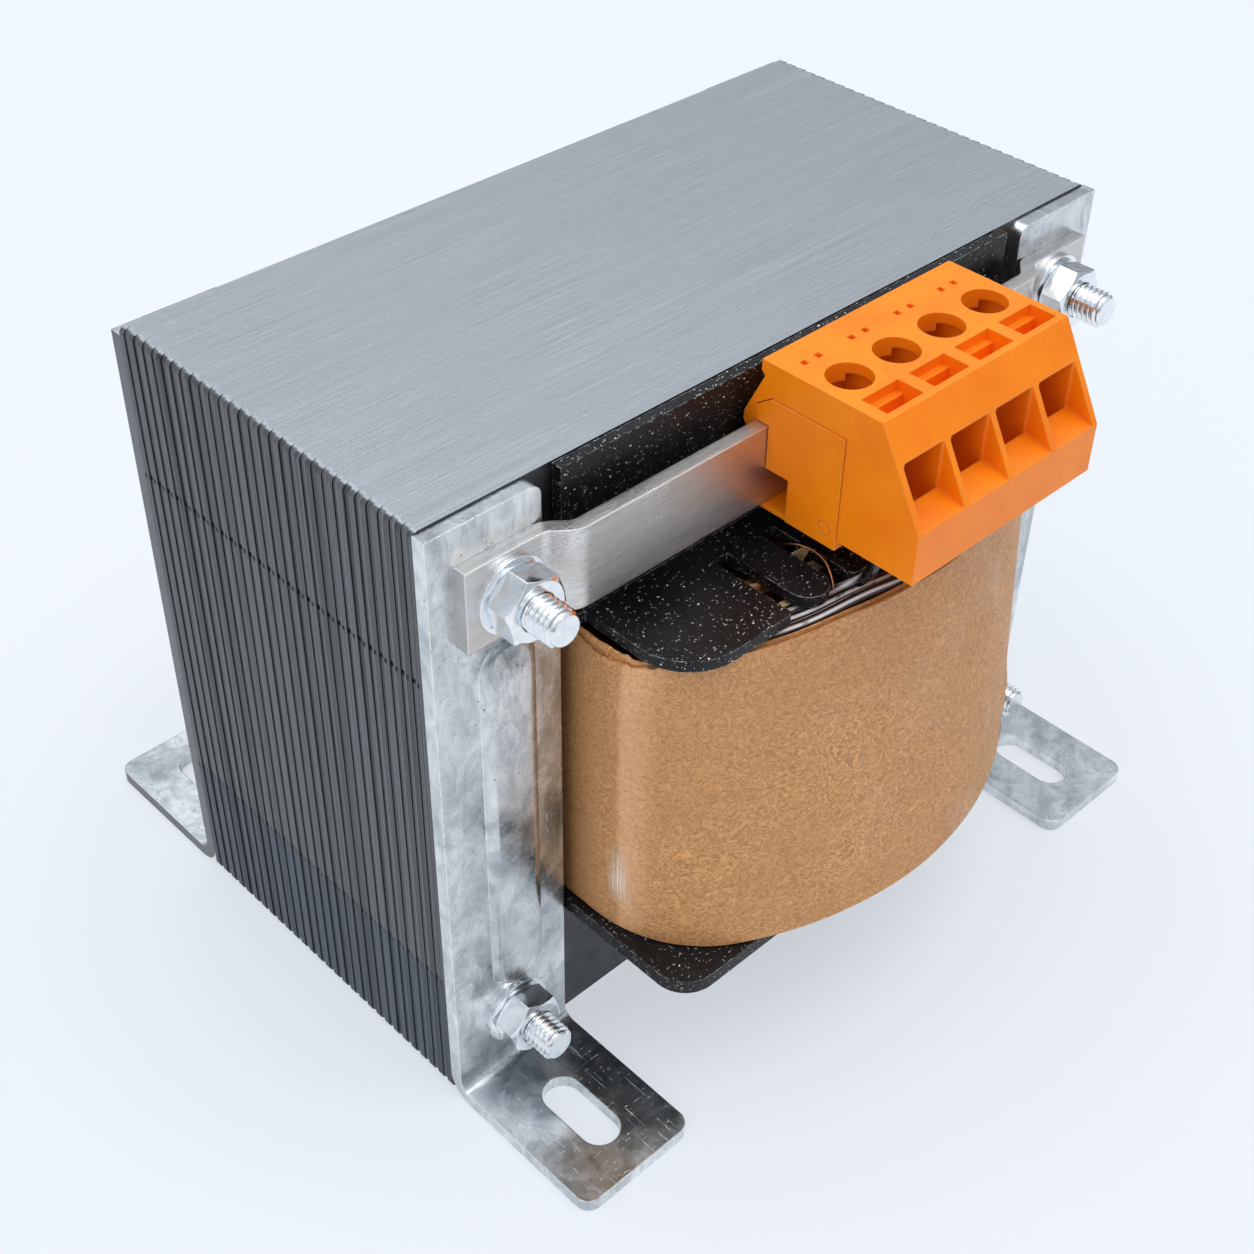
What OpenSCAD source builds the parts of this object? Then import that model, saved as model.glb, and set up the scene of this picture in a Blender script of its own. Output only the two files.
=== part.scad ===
// Laminated chassis transformer with four mounting feet and a four-pole
// terminal block. The origin is at the centre of the footprint, on the
// surface that the feet stand on. +Z is up and -Y is the terminal side.

/* [Core] */
// Width of the laminated core
core_w = 120; // [118:0.5:124]
// Width of each outer leg of the E plates
leg_w = 20; // [19:0.5:21]
// Width of the centre leg of the E plates
centre_leg_w = 40; // [38:0.5:42]
// Height of the top and bottom yokes
yoke_h = 22; // [20:0.5:24]
// Height of the two windows
window_h = 52; // [48:0.5:56]
// Thickness of one packet of plates laid the same way round
packet_t = 1; // [0.9:0.05:1.1]
// Number of packets in the stack
packet_count = 57; // [51:2:63]
// How far every second packet is set back at its sides
packet_setback = 0.2; // [0.1:0.05:0.3]
// Radius on the outer corners of the plates
plate_corner_r = 1; // [0.5:0.1:1.5]
// Height of the core above the surface that the feet stand on
core_lift = 0.4; // [0.2:0.1:1]

/* [Bobbin] */
// Clearance between the bobbin and the core
bobbin_clear = 0.3; // [0.2:0.05:0.4]
// Wall of the bobbin's tube
tube_wall = 1.5; // [1.2:0.1:2]
// Thickness of the top flange
top_flange_t = 1.6; // [1.2:0.1:1.8]
// Thickness of the bottom flange
bottom_flange_t = 2.2; // [1.8:0.1:2.6]
// How far the top flange's tabs reach out of the core
tab_reach = 19.2; // [18:0.2:20]
// Half width of the top flange over the outer tabs
tab_half_w = 36.8; // [36:0.2:38]
// Radius on the outer tabs' corners
tab_corner_r = 8; // [5:0.5:9]
// Inner edge of the outer tabs, from the middle
tab_inner_x = 18.8; // [18:0.1:19.5]
// Width of the round-ended fingers
finger_w = 5.7; // [5:0.1:6]
// Width of the lead-out slots in the top flange
slot_w = 2.6; // [2.2:0.1:2.8]
// Distance from the core to the slots' closed ends
slot_start = 5.6; // [5:0.1:8]
// How far the top flange's widest part reaches out of the core
flange_step = 2; // [1:0.1:4]
// How far the bottom flange reaches out of the core
bottom_reach = 24; // [22:0.5:26]
// Radius on the bottom flange's left corners
bottom_corner_r = 5; // [3:0.5:8]
// Radius on the bottom flange's right corners
bottom_corner_r2 = 20; // [5:0.5:20]
// Thickness of the wall that covers the top yoke
apron_t = 1.5; // [1:0.1:1.8]
// Gap between the wall over the yoke and each bracket
apron_side_gap = 0.5; // [0.3:0.1:1]
// How far the back wall ends below the core's top
apron_back_drop = 2.5; // [1:0.1:4]

/* [Coil] */
// Gap between the coil's sides and the outer legs
coil_side_gap = 1.4; // [0.8:0.1:1.8]
// Reach of the coil out of the core at its top
bulge_top = 24.3; // [24:0.1:26]
// Reach of the coil out of the core at its bottom
bulge_bottom = 30.4; // [29:0.1:31]
// How far the middle of the bulge sits to the right at the coil's top
coil_lean = 4; // [0:0.5:5]
// Radius of the left half of the coil's front at its top
front_r_top = 85; // [70:1:90]
// Radius of the right half of the coil's front at its top
front_r_top2 = 52; // [44:1:60]
// Radius of the left half of the coil's front at its bottom
front_r_bottom = 59; // [54:1:65]
// Radius of the right half of the coil's front at its bottom
front_r_bottom2 = 53; // [48:1:60]
// Radius on the coil's left corners at its top
coil_corner_top = 9; // [8:0.5:12]
// Radius on the coil's left corners at its bottom
coil_corner_bottom = 20; // [10:0.5:22]
// Radius on the coil's right corners
coil_corner_r2 = 14; // [10:0.5:16]
// Thickness of the outer kraft wrap
outer_wrap_t = 0.8; // [0.6:0.1:1]
// Thickness of the inner kraft wrap
inner_wrap_t = 0.5; // [0.4:0.1:0.7]
// Build of the primary winding over the tube's sides
primary_side = 8; // [7:0.5:9]
// Build of the primary winding over the tube's ends
primary_end = 11; // [9:0.5:12]
// Radius of the primary winding's front
primary_front_r = 60; // [50:1:80]
// Radius where the primary's front meets its sides
primary_corner_r = 6; // [4:0.5:7]
// Thickness of the insulation between the two windings
interlayer_t = 0.5; // [0.3:0.1:0.8]
// Gap between the coil's layers and the flanges
layer_gap = 0.3; // [0.2:0.05:0.5]
// How far the inner wrap ends below the outer one
inner_wrap_drop = 0.7; // [0.4:0.1:1]
// How far the primary winding ends below the flange
primary_drop = 1.5; // [1:0.1:2]
// Diameter of the leads' sleeves
lead_d = 1.5; // [1.3:0.1:1.6]
// Diameter of the leads' bare ends
lead_core_d = 0.8; // [0.6:0.1:0.9]
// How far from the coil's side the leads come up
lead_inset = 9.6; // [9:0.1:11]

/* [Brackets] */
// Thickness of the brackets' steel
bracket_t = 2; // [1.8:0.1:2.2]
// Width of a bracket
bracket_w = 19.2; // [18.5:0.1:19.5]
// Length of a foot out of the core
foot_len = 27.5; // [26:0.5:29]
// Inside radius of the bend above a foot
bend_r = 2; // [1.5:0.1:2.5]
// Radius on a foot's corners
foot_corner_r = 2.2; // [1.5:0.1:3]
// Width of the slot in a foot
slot_d = 5.8; // [5.3:0.1:6.2]
// Length of the slot in a foot
slot_len = 13; // [11:0.5:14]
// Distance from the core to the middle of the slot
slot_y = 15.8; // [15:0.1:16.4]
// Width of the cut-out in a bracket's inner top corner
relief_w = 2.6; // [1.5:0.1:3]
// Height of that cut-out
relief_h = 10; // [8:0.5:12]
// Radius of that cut-out's upper corner
relief_r = 1.6; // [1:0.1:2]
// Gap between a front bracket's top and the core's top
bracket_drop = 0.3; // [0:0.1:0.6]
// Gap between a back bracket's top and the core's top
back_drop = 1.2; // [0:0.1:1.5]
// Width of the pressed bead
bead_w = 8.6; // [7.5:0.1:9]
// Height of the pressed bead
bead_h = 0.9; // [0.6:0.1:1.2]
// Radius of the bead's shoulders
bead_shoulder_r = 1.6; // [1.3:0.1:2]
// Height of the bead's lower end above the core's bottom
bead_z0 = 16.4; // [16:0.1:20]
// Height of the bead's upper end above the core's bottom
bead_z1 = 76.8; // [70:0.1:77]
// Offset of the bead from the bolt line, towards the coil
bead_shift = 0.8; // [0:0.1:1]

/* [Fasteners] */
// Diameter of the through bolts
bolt_d = 5; // [4.5:0.1:5.2]
// Diameter of the bolt holes
bolt_hole_d = 5.5; // [5.3:0.1:5.8]
// Width across the flats of nuts and heads
hex_af = 8; // [7.5:0.1:8.2]
// Thickness of a nut
nut_t = 4; // [3.5:0.1:4.7]
// Height of a bolt's head
head_t = 3.5; // [3:0.1:4]
// Outer diameter of a washer
washer_d = 10; // [9:0.1:10.5]
// Thickness of a washer
washer_t = 0.8; // [0.5:0.1:1]
// Thread that shows in front of each nut
thread_out = 4.5; // [3:0.1:5]
// Chamfer on the bolts' ends
bolt_chamfer = 0.5; // [0.3:0.1:0.7]
// Angle by which the nuts are turned
nut_turn = 15; // [0:1:30]

/* [Strap] */
// Thickness of the strap that carries the terminal block
strap_t = 2; // [1.8:0.1:2.2]
// Height of the strap
strap_h = 11.4; // [11:0.1:12]
// How far the strap runs past each bolt
strap_past = 6.3; // [5.5:0.1:8]
// How far each flat end of the strap runs from the bolt towards the middle
flat_run = 4.6; // [4:0.1:5]
// How far the strap stands out between its flat ends
joggle = 2.5; // [2:0.1:3]
// Inside radius of the strap's bends
joggle_r = 2; // [1.5:0.1:2.5]
// Angle of the strap's bends
joggle_angle = 40; // [35:1:50]

/* [Terminal block] */
// Distance from pole to pole
pitch = 8.4; // [8.2:0.1:8.8]
// Wall at each end of the block
end_wall = 0.5; // [0.5:0.1:0.8]
// Middle of the block, to the right of the core's middle
block_x = 6.2; // [0:0.1:10]
// Distance from the core to the back of the block's top
block_back = 4.8; // [4.6:0.1:5.2]
// Distance from the core to the front edge of the block's top
block_front = 23.2; // [23:0.1:24]
// Distance from the core to the block's nose
nose_reach = 30.1; // [29.5:0.1:31]
// Height of the block's top above the strap's bottom edge
block_h = 20; // [19.5:0.1:21]
// Height of the nose above the strap's bottom edge
nose_h = 7.7; // [7.5:0.1:8.2]
// Height of the block's underside above the strap's bottom edge
under_h = 0.7; // [0.5:0.1:1]
// Thickness of the lip under the strap
lip_t = 0.7; // [0.6:0.1:1]
// Where the lip under the strap starts, from the core
lip_start = 5.6; // [5.2:0.1:5.8]
// Depth of the channel in front of the strap
channel_d = 3.8; // [3:0.1:4.2]
// Height of that channel
channel_h = 5.4; // [4.5:0.1:6]
// Diameter of the screwdriver holes
driver_d = 5.9; // [5.6:0.1:6.2]
// Distance from the core to the screwdriver holes
driver_y = 14.2; // [14:0.1:14.5]
// Thickness of the block's top
top_t = 1.5; // [1.2:0.1:1.8]
// Extra thickness of the top beside each screwdriver hole
ledge_t = 1.1; // [0.8:0.1:1.4]
// How far that ledge reaches to the right of the hole's middle
ledge_x = 2; // [1.5:0.1:2.5]
// Width of the clamp chambers
chamber_w = 6.8; // [6.6:0.1:7]
// Width of the wire entries
entry_w = 7.5; // [7.2:0.1:7.7]
// Depth of the wire entries' floor
entry_floor = 4.2; // [3.5:0.1:4.6]
// How far the wire entries' floor rises inwards
entry_rise = 1; // [0.5:0.1:1.2]
// Height of the chambers' floor above the strap's bottom edge
chamber_floor = 5.8; // [5.6:0.1:6]
// Width of the windows near the front edge
window_x = 6.5; // [6.2:0.1:6.8]
// Depth of the windows, front to back
window_y = 3.9; // [3.5:0.1:4.1]
// Distance from the core to the windows' back edge
window_back = 18.4; // [18.3:0.1:18.5]
// Depth of the windows from the top
window_deep = 4; // [3:0.1:4.2]
// Size of the small marker slots
marker = 0.9; // [0.7:0.1:1.1]
// Distance between two marker slots of a pole
marker_gap = 2.45; // [2.2:0.05:2.8]
// Distance from the core to the marker slots
marker_y = 8.7; // [8.2:0.1:9.5]
// Thickness of the end cover
cover_t = 1; // [0.8:0.1:1.2]
// How far the end cover stands out
cover_proud = 0.15; // [0.1:0.05:0.25]
// Height of the end cover's top above the strap's bottom edge
cover_h = 15.3; // [14.8:0.1:15.8]
// Distance from the core to the end cover's front edge
cover_front = 18.3; // [17.8:0.1:18.8]

/* [Clamps] */
// Thickness of the contact bars
bar_t = 1; // [0.8:0.1:1.1]
// Width of the contact bars
bar_w = 3.6; // [3.2:0.1:4]
// Distance from the core to a contact bar's back end
bar_back = 10.9; // [10.8:0.1:11.2]
// Distance from the core to the front of the solder tails
tail_y = 21; // [20.8:0.1:21.4]
// How far the solder tails hang below the strap's bottom edge
tail_drop = 1.5; // [1:0.1:2]
// Width of a clamp cage
cage_w = 6.3; // [6:0.1:6.4]
// Length of a clamp cage, front to back
cage_l = 5.6; // [5:0.1:6]
// Wall of a clamp cage's sides
cage_wall = 0.8; // [0.7:0.05:0.9]
// Thickness of a clamp cage's top
cage_top = 1; // [0.8:0.1:1.2]
// Height of the wire space under a clamp screw
wire_space = 4.3; // [4.2:0.1:4.4]
// Diameter of the clamp screws
screw_d = 3.5; // [3:0.1:3.6]
// Diameter of the clamp screws' heads
screw_head_d = 5.2; // [4.8:0.1:5.3]
// Height of the clamp screws' heads
screw_head_t = 1.2; // [1:0.1:1.3]
// Clearance between pieces that slide together
fit_gap = 0.1; // [0.05:0.05:0.15]

/* [Hidden] */
$fn = 48;
eps = 0.01;
poles = 4;
corner_names = ["front_left", "front_right", "back_left", "back_right"];
bolt_names = ["upper_left", "upper_right", "lower_left", "lower_right"];
stack = packet_t * packet_count;
face = stack / 2;
core_h = window_h + 2 * yoke_h;
core_top = core_lift + core_h;
window_z0 = core_lift + yoke_h;
window_z1 = window_z0 + window_h;
window_edge = core_w / 2 - leg_w;
bolt_x = core_w / 2 - leg_w / 2;
bolt_z_low = core_lift + yoke_h / 2;
bolt_z_high = core_top - yoke_h / 2;

tube_x = centre_leg_w / 2 + bobbin_clear + tube_wall;
tube_y = face + bobbin_clear + tube_wall;
bobbin_z0 = window_z0 + bobbin_clear;
bobbin_z1 = window_z1 - bobbin_clear;
coil_z0 = bobbin_z0 + bottom_flange_t + layer_gap;
flange_under = bobbin_z1 - top_flange_t;
coil_z1 = flange_under - layer_gap;
flange_half = window_edge - bobbin_clear;
apron_half = core_w / 2 - bracket_w - apron_side_gap;
finger_x1 = tab_inner_x - slot_w;
finger_x0 = finger_x1 - finger_w;
middle_tab_half = finger_x0 - slot_w;

coil_half = window_edge - coil_side_gap;
wrap_in = outer_wrap_t + inner_wrap_t;
secondary_z1 = coil_z1 - lead_d - fit_gap;
lead_z = secondary_z1 + lead_d / 2 + fit_gap / 2;
lead_step = lead_d + fit_gap;

flange_x0 = core_w / 2 - bracket_w;
bead_x = bolt_x - bead_shift;

strap_half = bolt_x + strap_past;
flat_end_x = bolt_x - flat_run;
strap_z0 = bolt_z_high - strap_h / 2;
strap_z1 = strap_z0 + strap_h;
strap_back = bracket_t + joggle;
strap_front = strap_back + strap_t;
bend_run = 2 * (joggle_r + strap_t / 2) * sin(joggle_angle);
bend_rise = 2 * (joggle_r + strap_t / 2) * (1 - cos(joggle_angle));
bend_straight = (joggle - bend_rise) / sin(joggle_angle);
joggle_len = bend_run + bend_straight * cos(joggle_angle);
bend_steps = 8;

block_len = poles * pitch + 2 * end_wall;
block_x0 = block_x - block_len / 2;
block_x1 = block_x + block_len / 2;
block_top = strap_z0 + block_h;
nose_z = strap_z0 + nose_h;
under_z = strap_z0 + under_h;
lip_z = strap_z0 - lip_t;
slot_top = strap_z1 + fit_gap;
channel_y = strap_front + channel_d;
channel_z = strap_z0 + channel_h;
chamber_z0 = strap_z0 + chamber_floor;
entry_back = nose_reach - entry_floor;
slope = (block_top - nose_z) / (nose_reach - block_front);
chamber_z1 = nose_z + entry_floor * slope;
driver_r = driver_d / 2;
chamber_back = driver_y - cage_l / 2 - 1;
chamber_front = driver_y + cage_l / 2 + 0.6;
bar_z1 = nose_z + entry_rise - fit_gap;
bar_z0 = bar_z1 - bar_t;
cage_z0 = chamber_z0 + fit_gap;
cage_z2 = bar_z1 + wire_space;
cage_z3 = cage_z2 + cage_top;
tail_back = tail_y - bar_t;
tail_z = strap_z0 - tail_drop;

// ---------------------------------------------------------------- helpers

// y of a point that lies a distance out of the core's front face
function out(d) = -face - d;

// x of the middle of a pole, counted from 1 at the left
function pole_x(i) = block_x + (i - (poles + 1) / 2) * pitch;

// side of a fastener: left is -1 and right is 1
function side(c) = c % 2 == 0 ? -1 : 1;

// extrudes a section drawn in y and z along x
module along_x(x0, x1) {
    translate([x0, 0, 0]) rotate([90, 0, 90]) linear_extrude(x1 - x0) children();
}

// extrudes an outline drawn in x and z along y, between two distances out
module along_y(d0, d1) {
    translate([0, out(d0), 0]) rotate([90, 0, 0]) linear_extrude(d1 - d0) children();
}

// box between two corners
module block(low, high) {
    translate(low) cube(high - low);
}

// what a rounded corner at a point takes away from a square one
module corner_cut(x, y, r) {
    translate([x - r, y - r]) difference() {
        square([r + 1, r + 1]);
        circle(r);
    }
}

// rectangle between two corners whose far end has a radius at each side
module tongue(x0, x1, y0, y1, r0, r1) {
    difference() {
        translate([x0, y0]) square([x1 - x0, y1 - y0]);
        corner_cut(x1, y1, r1);
        mirror([1, 0]) corner_cut(-x0, y1, r0);
    }
}

// ------------------------------------------------------------------- core

// outline of one E plate with its yoke at the top, drawn in x and z
module e_outline(setback) {
    half = core_w / 2 - setback;
    difference() {
        union() {
            translate([-half, yoke_h]) square([2 * half, core_h - yoke_h - plate_corner_r]);
            translate([-half + plate_corner_r, core_h - 2 * plate_corner_r])
                square([2 * (half - plate_corner_r), 2 * plate_corner_r]);
            for (s = [-1, 1]) {
                translate([s * (half - plate_corner_r), core_h - plate_corner_r])
                    circle(plate_corner_r, $fn = 24);
            }
        }
        for (s = [-1, 1]) {
            translate([s * (centre_leg_w / 2 + window_edge) / 2, yoke_h + window_h / 2 - 1])
                square([window_edge - centre_leg_w / 2, window_h + 2], center = true);
            translate([s * bolt_x, core_h - yoke_h / 2]) circle(d = bolt_hole_d, $fn = 24);
        }
    }
}

// outline of one I plate that closes the E plate's open side
module i_outline(setback) {
    half = core_w / 2 - setback;
    difference() {
        union() {
            translate([-half, plate_corner_r]) square([2 * half, yoke_h - plate_corner_r]);
            translate([-half + plate_corner_r, 0])
                square([2 * (half - plate_corner_r), 2 * plate_corner_r]);
            for (s = [-1, 1]) {
                translate([s * (half - plate_corner_r), plate_corner_r])
                    circle(plate_corner_r, $fn = 24);
            }
        }
        for (s = [-1, 1]) translate([s * bolt_x, yoke_h / 2]) circle(d = bolt_hole_d, $fn = 24);
    }
}

// every second packet of the stack, starting with the first or the second
module packets(first, flip) {
    for (i = [first:2:packet_count - 1]) {
        translate([0, -face + (i + 1) * packet_t, core_lift])
            rotate([90, 0, 0]) linear_extrude(packet_t)
                translate([0, flip ? core_h : 0]) mirror([0, flip ? 1 : 0]) children();
    }
}

module core_e_upright() {
    color("#8d9299") packets(0, false) e_outline(0);
}

module core_i_bottom() {
    color("#6e7278") packets(0, false) i_outline(0);
}

module core_e_inverted() {
    color("#7f848b") packets(1, true) e_outline(packet_setback);
}

module core_i_top() {
    color("#8d9299") packets(1, true) i_outline(packet_setback);
}

// ----------------------------------------------------------------- bobbin

// plan of one side of the top flange: tabs, fingers and lead-out slots
module top_flange_side() {
    y0 = face + slot_start - 1;
    y1 = face + tab_reach;
    translate([-flange_half, 0]) square([2 * flange_half, face + flange_step]);
    translate([-tab_half_w, 0]) square([2 * tab_half_w, face + slot_start]);
    for (s = [0, 1]) mirror([s, 0]) {
        tongue(tab_inner_x, tab_half_w, y0, y1, 0.8, tab_corner_r);
        tongue(finger_x0, finger_x1, y0, y1, finger_w / 2 - eps, finger_w / 2 - eps);
    }
    tongue(-middle_tab_half, middle_tab_half, y0, y1, 1, 1);
}

module top_flange() {
    translate([0, 0, flange_under]) linear_extrude(top_flange_t)
        for (m = [0, 1]) mirror([0, m]) top_flange_side();
}

module bottom_flange() {
    translate([0, 0, bobbin_z0]) linear_extrude(bottom_flange_t) difference() {
        square([2 * flange_half, stack + 2 * bottom_reach], center = true);
        for (m = [0, 1]) mirror([0, m]) {
            corner_cut(flange_half, face + bottom_reach, bottom_corner_r2);
            mirror([1, 0]) corner_cut(flange_half, face + bottom_reach, bottom_corner_r);
        }
    }
}

module bobbin() {
    color("#17181a") difference() {
        union() {
            top_flange();
            bottom_flange();
            block([-tube_x, -tube_y, bobbin_z0], [tube_x, tube_y, bobbin_z1]);
            for (s = [0, 1]) mirror([0, s, 0])
                block([-apron_half, -face - bobbin_clear - apron_t, flange_under],
                    [apron_half, -face - bobbin_clear, core_top - s * apron_back_drop]);
        }
        block([-centre_leg_w / 2 - bobbin_clear, -face - bobbin_clear, 0],
            [centre_leg_w / 2 + bobbin_clear, face + bobbin_clear, core_top]);
    }
}

// ------------------------------------------------------------------- coil

// front half of a coil layer's section; the pairs hold left and right values
module coil_front(half, reach, lean, arcs, corners) {
    front = -face - reach;
    ends = [for (i = [0, 1]) let (
        gap = arcs[i] - corners[i],
        dx = (2 * i - 1) * (half - corners[i]) - lean,
        dy = -sqrt(gap * gap - dx * dx),
        k = arcs[i] / gap)
        [lean + dx, front + arcs[i] + dy, lean + k * dx, front + arcs[i] + k * dy]];
    polygon([[-half, 0], [-half, ends[0][1]], [ends[0][2], ends[0][3]], [lean, front],
        [ends[1][2], ends[1][3]], [half, ends[1][1]], [half, 0]]);
    for (i = [0, 1]) {
        translate([ends[i][0], ends[i][1]]) circle(corners[i]);
        intersection() {
            translate([lean, front + arcs[i]]) circle(arcs[i], $fn = 200);
            polygon([[lean, ends[i][1]], [ends[i][0], ends[i][1]], [ends[i][2], ends[i][3]],
                [ends[i][2], front - 1], [lean, front - 1]]);
        }
    }
}

// whole section of a coil layer, the same at the front and at the back
module coil_section(half, reach, lean, arcs, corners) {
    for (m = [0, 1]) mirror([0, m]) coil_front(half, reach, lean, arcs, corners);
}

// solid of the coil's outer form, taken in by a thickness, that widens downwards
module coil_body(inset, z0, z1) {
    in = [inset, inset];
    hull() {
        translate([0, 0, z0]) linear_extrude(eps)
            coil_section(coil_half - inset, bulge_bottom - inset, 0,
                [front_r_bottom, front_r_bottom2] - in, [coil_corner_bottom, coil_corner_r2] - in);
        translate([0, 0, z1 - eps]) linear_extrude(eps)
            coil_section(coil_half - inset, bulge_top - inset, coil_lean,
                [front_r_top, front_r_top2] - in, [coil_corner_top, coil_corner_r2] - in);
    }
}

// straight layer of the coil around the tube
module primary_body(grow, z0, z1) {
    translate([0, 0, z0]) linear_extrude(z1 - z0)
        coil_section(tube_x + primary_side + grow, tube_y - face + primary_end + grow, 0,
            [primary_front_r + grow, primary_front_r + grow],
            [primary_corner_r + grow, primary_corner_r + grow]);
}

module primary_winding() {
    color("#b3622a") difference() {
        primary_body(0, coil_z0, flange_under - primary_drop);
        block([-tube_x - fit_gap, -tube_y - fit_gap, 0],
            [tube_x + fit_gap, tube_y + fit_gap, core_top]);
    }
}

module interlayer_insulation() {
    color("#c99a63") difference() {
        primary_body(interlayer_t, coil_z0, coil_z1);
        primary_body(0, 0, core_top);
    }
}

module secondary_winding() {
    color("#b96a30") difference() {
        intersection() {
            coil_body(wrap_in, coil_z0, coil_z1);
            block([-core_w, -core_w, coil_z0], [core_w, core_w, secondary_z1]);
        }
        primary_body(interlayer_t, 0, core_top);
    }
}

module inner_wrap() {
    color("#b98651") difference() {
        coil_body(outer_wrap_t, coil_z0, coil_z1);
        coil_body(wrap_in, coil_z0, coil_z1);
        block([-core_w, -core_w, coil_z1 - inner_wrap_drop], [core_w, core_w, core_top]);
    }
}

module outer_wrap() {
    color("#c08a55") difference() {
        coil_body(0, coil_z0, coil_z1);
        coil_body(outer_wrap_t, coil_z0, coil_z1);
    }
}

// ------------------------------------------------------------------ leads

// point on the ring that a lead follows inside the wrap
function ring_inset(k) = wrap_in + fit_gap + lead_d / 2 + k * lead_step;
function ring_point(k, x) = let (r = x < coil_lean ? front_r_top : front_r_top2)
    [x, out(bulge_top) + r - sqrt(pow(r - ring_inset(k), 2) - pow(x - coil_lean, 2)), lead_z];

// cubic curve between two points with a direction at each end
function curve(a, da, b, db, n) = [for (i = [1:n]) let (t = i / n, u = 1 - t)
    a * u * u * u + (a + da) * 3 * u * u * t + (b - db) * 3 * u * t * t + b * t * t * t];

// route of a lead: round the coil inside the wrap, then up to its solder tail
function lead_route(k, from_x, pole) =
    let (s = sign(pole_x(pole) - from_x),
        turn_x = pole_x(pole) - s * lead_turn,
        a = ring_point(k, turn_x),
        b = [pole_x(pole), out(tail_y) - lead_core_d / 2 - fit_gap / 2, sleeve_top])
    concat([for (i = [0:lead_rings]) ring_point(k, from_x + (turn_x - from_x) * i / lead_rings)],
        curve(a, [s * lead_turn * 0.8, 0, 0], b, [0, 0, lead_turn * 0.9], 8));

lead_rings = 10;
lead_turn = 5;
lead_sides = 8;
lead_start_x = coil_half - lead_inset;
sleeve_top = tail_z - 0.6;

function unit(v) = v / norm(v);
function tangent(p, i) = unit(p[min(i + 1, len(p) - 1)] - p[max(i - 1, 0)]);
function carry(n, t) = unit(n - (n * t) * t);

// round tube along a route, one ring of corners for each point
module sweep(p, r) {
    last = len(p) - 1;
    normals = [for (i = 0, n = carry([0, 0, 1], tangent(p, 0)); i <= last;
        i = i + 1, n = i <= last ? carry(n, tangent(p, i)) : n) n];
    points = [for (i = [0:last]) for (j = [0:lead_sides - 1])
        let (b = cross(tangent(p, i), normals[i]), a = 360 * j / lead_sides)
        p[i] + r * (cos(a) * normals[i] + sin(a) * b)];
    sides = [for (i = [0:last - 1]) for (j = [0:lead_sides - 1])
        let (q = (j + 1) % lead_sides)
        [i * lead_sides + j, (i + 1) * lead_sides + j, (i + 1) * lead_sides + q,
            i * lead_sides + q]];
    start = [[for (j = [0:lead_sides - 1]) j]];
    finish = [[for (j = [lead_sides - 1:-1:0]) last * lead_sides + j]];
    polyhedron(points, concat(sides, start, finish));
}

// sleeved lead with its bare end beside a solder tail
module lead(i) {
    k = i == 4 ? 0 : 3 - i;
    from_x = i == 4 ? lead_start_x : -lead_start_x;
    color("#1b1b1c") union() {
        sweep(lead_route(k, from_x, i), lead_d / 2);
        translate([pole_x(i), out(tail_y) - lead_core_d / 2 - fit_gap / 2, sleeve_top - lead_d])
            cylinder(d = lead_core_d, h = under_z - fit_gap - sleeve_top + lead_d);
    }
}

// ------------------------------------------------------------------ strap

// one face of the strap's right-hand step, from the flat end to the raised middle
function step_face(ra, rb) = concat(
    [for (i = [0:bend_steps]) let (a = joggle_angle * i / bend_steps)
        [flat_end_x - ra * sin(a), strap_t + joggle_r + bracket_t - ra * cos(a)]],
    [for (i = [bend_steps:-1:0]) let (a = joggle_angle * i / bend_steps)
        [flat_end_x - joggle_len + rb * sin(a), strap_back - joggle_r + rb * cos(a)]]);

// whole of one face of the strap, from its right end to its left end
function strap_face(y, ra, rb) = let (half = concat([[strap_half, y]], step_face(ra, rb)))
    concat(half, [for (i = [len(half) - 1:-1:0]) [-half[i][0], half[i][1]]]);

// plan of the strap, with distances out of the core counted along +y
module strap_plan() {
    front = strap_face(bracket_t + strap_t, joggle_r, joggle_r + strap_t);
    back = strap_face(bracket_t, joggle_r + strap_t, joggle_r);
    polygon(concat(front, [for (i = [len(back) - 1:-1:0]) back[i]]));
}

module terminal_strap() {
    color("#b9bab8") difference() {
        translate([0, -face, strap_z0]) mirror([0, 1, 0]) linear_extrude(strap_h) strap_plan();
        for (s = [-1, 1]) translate([s * bolt_x, 0, bolt_z_high])
            rotate([90, 0, 0]) cylinder(d = bolt_hole_d, h = face + strap_front + 1);
    }
}

// --------------------------------------------------------- terminal block

// section of the housing: a hook behind the strap, the wire nose in front
module housing_section() {
    polygon([
        [out(block_back), block_top], [out(block_back), block_top - top_t],
        [out(block_back + 0.6), block_top - top_t - 0.6],
        [out(bracket_t + 0.4), strap_z1 + 0.3], [out(bracket_t + 0.4), strap_z1 - 0.9],
        [out(bracket_t + 0.9), strap_z1 - 1.6], [out(bracket_t + 0.9), channel_z],
        [out(strap_back - fit_gap), channel_z], [out(strap_back - fit_gap), slot_top],
        [out(strap_front + fit_gap), slot_top], [out(strap_front + fit_gap), channel_z],
        [out(channel_y), channel_z], [out(channel_y), strap_z0 - fit_gap],
        [out(lip_start), strap_z0 - fit_gap], [out(lip_start), lip_z],
        [out(cover_front), lip_z], [out(cover_front), under_z],
        [out(nose_reach), under_z], [out(nose_reach), nose_z], [out(block_front), block_top]
    ]);
}

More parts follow.
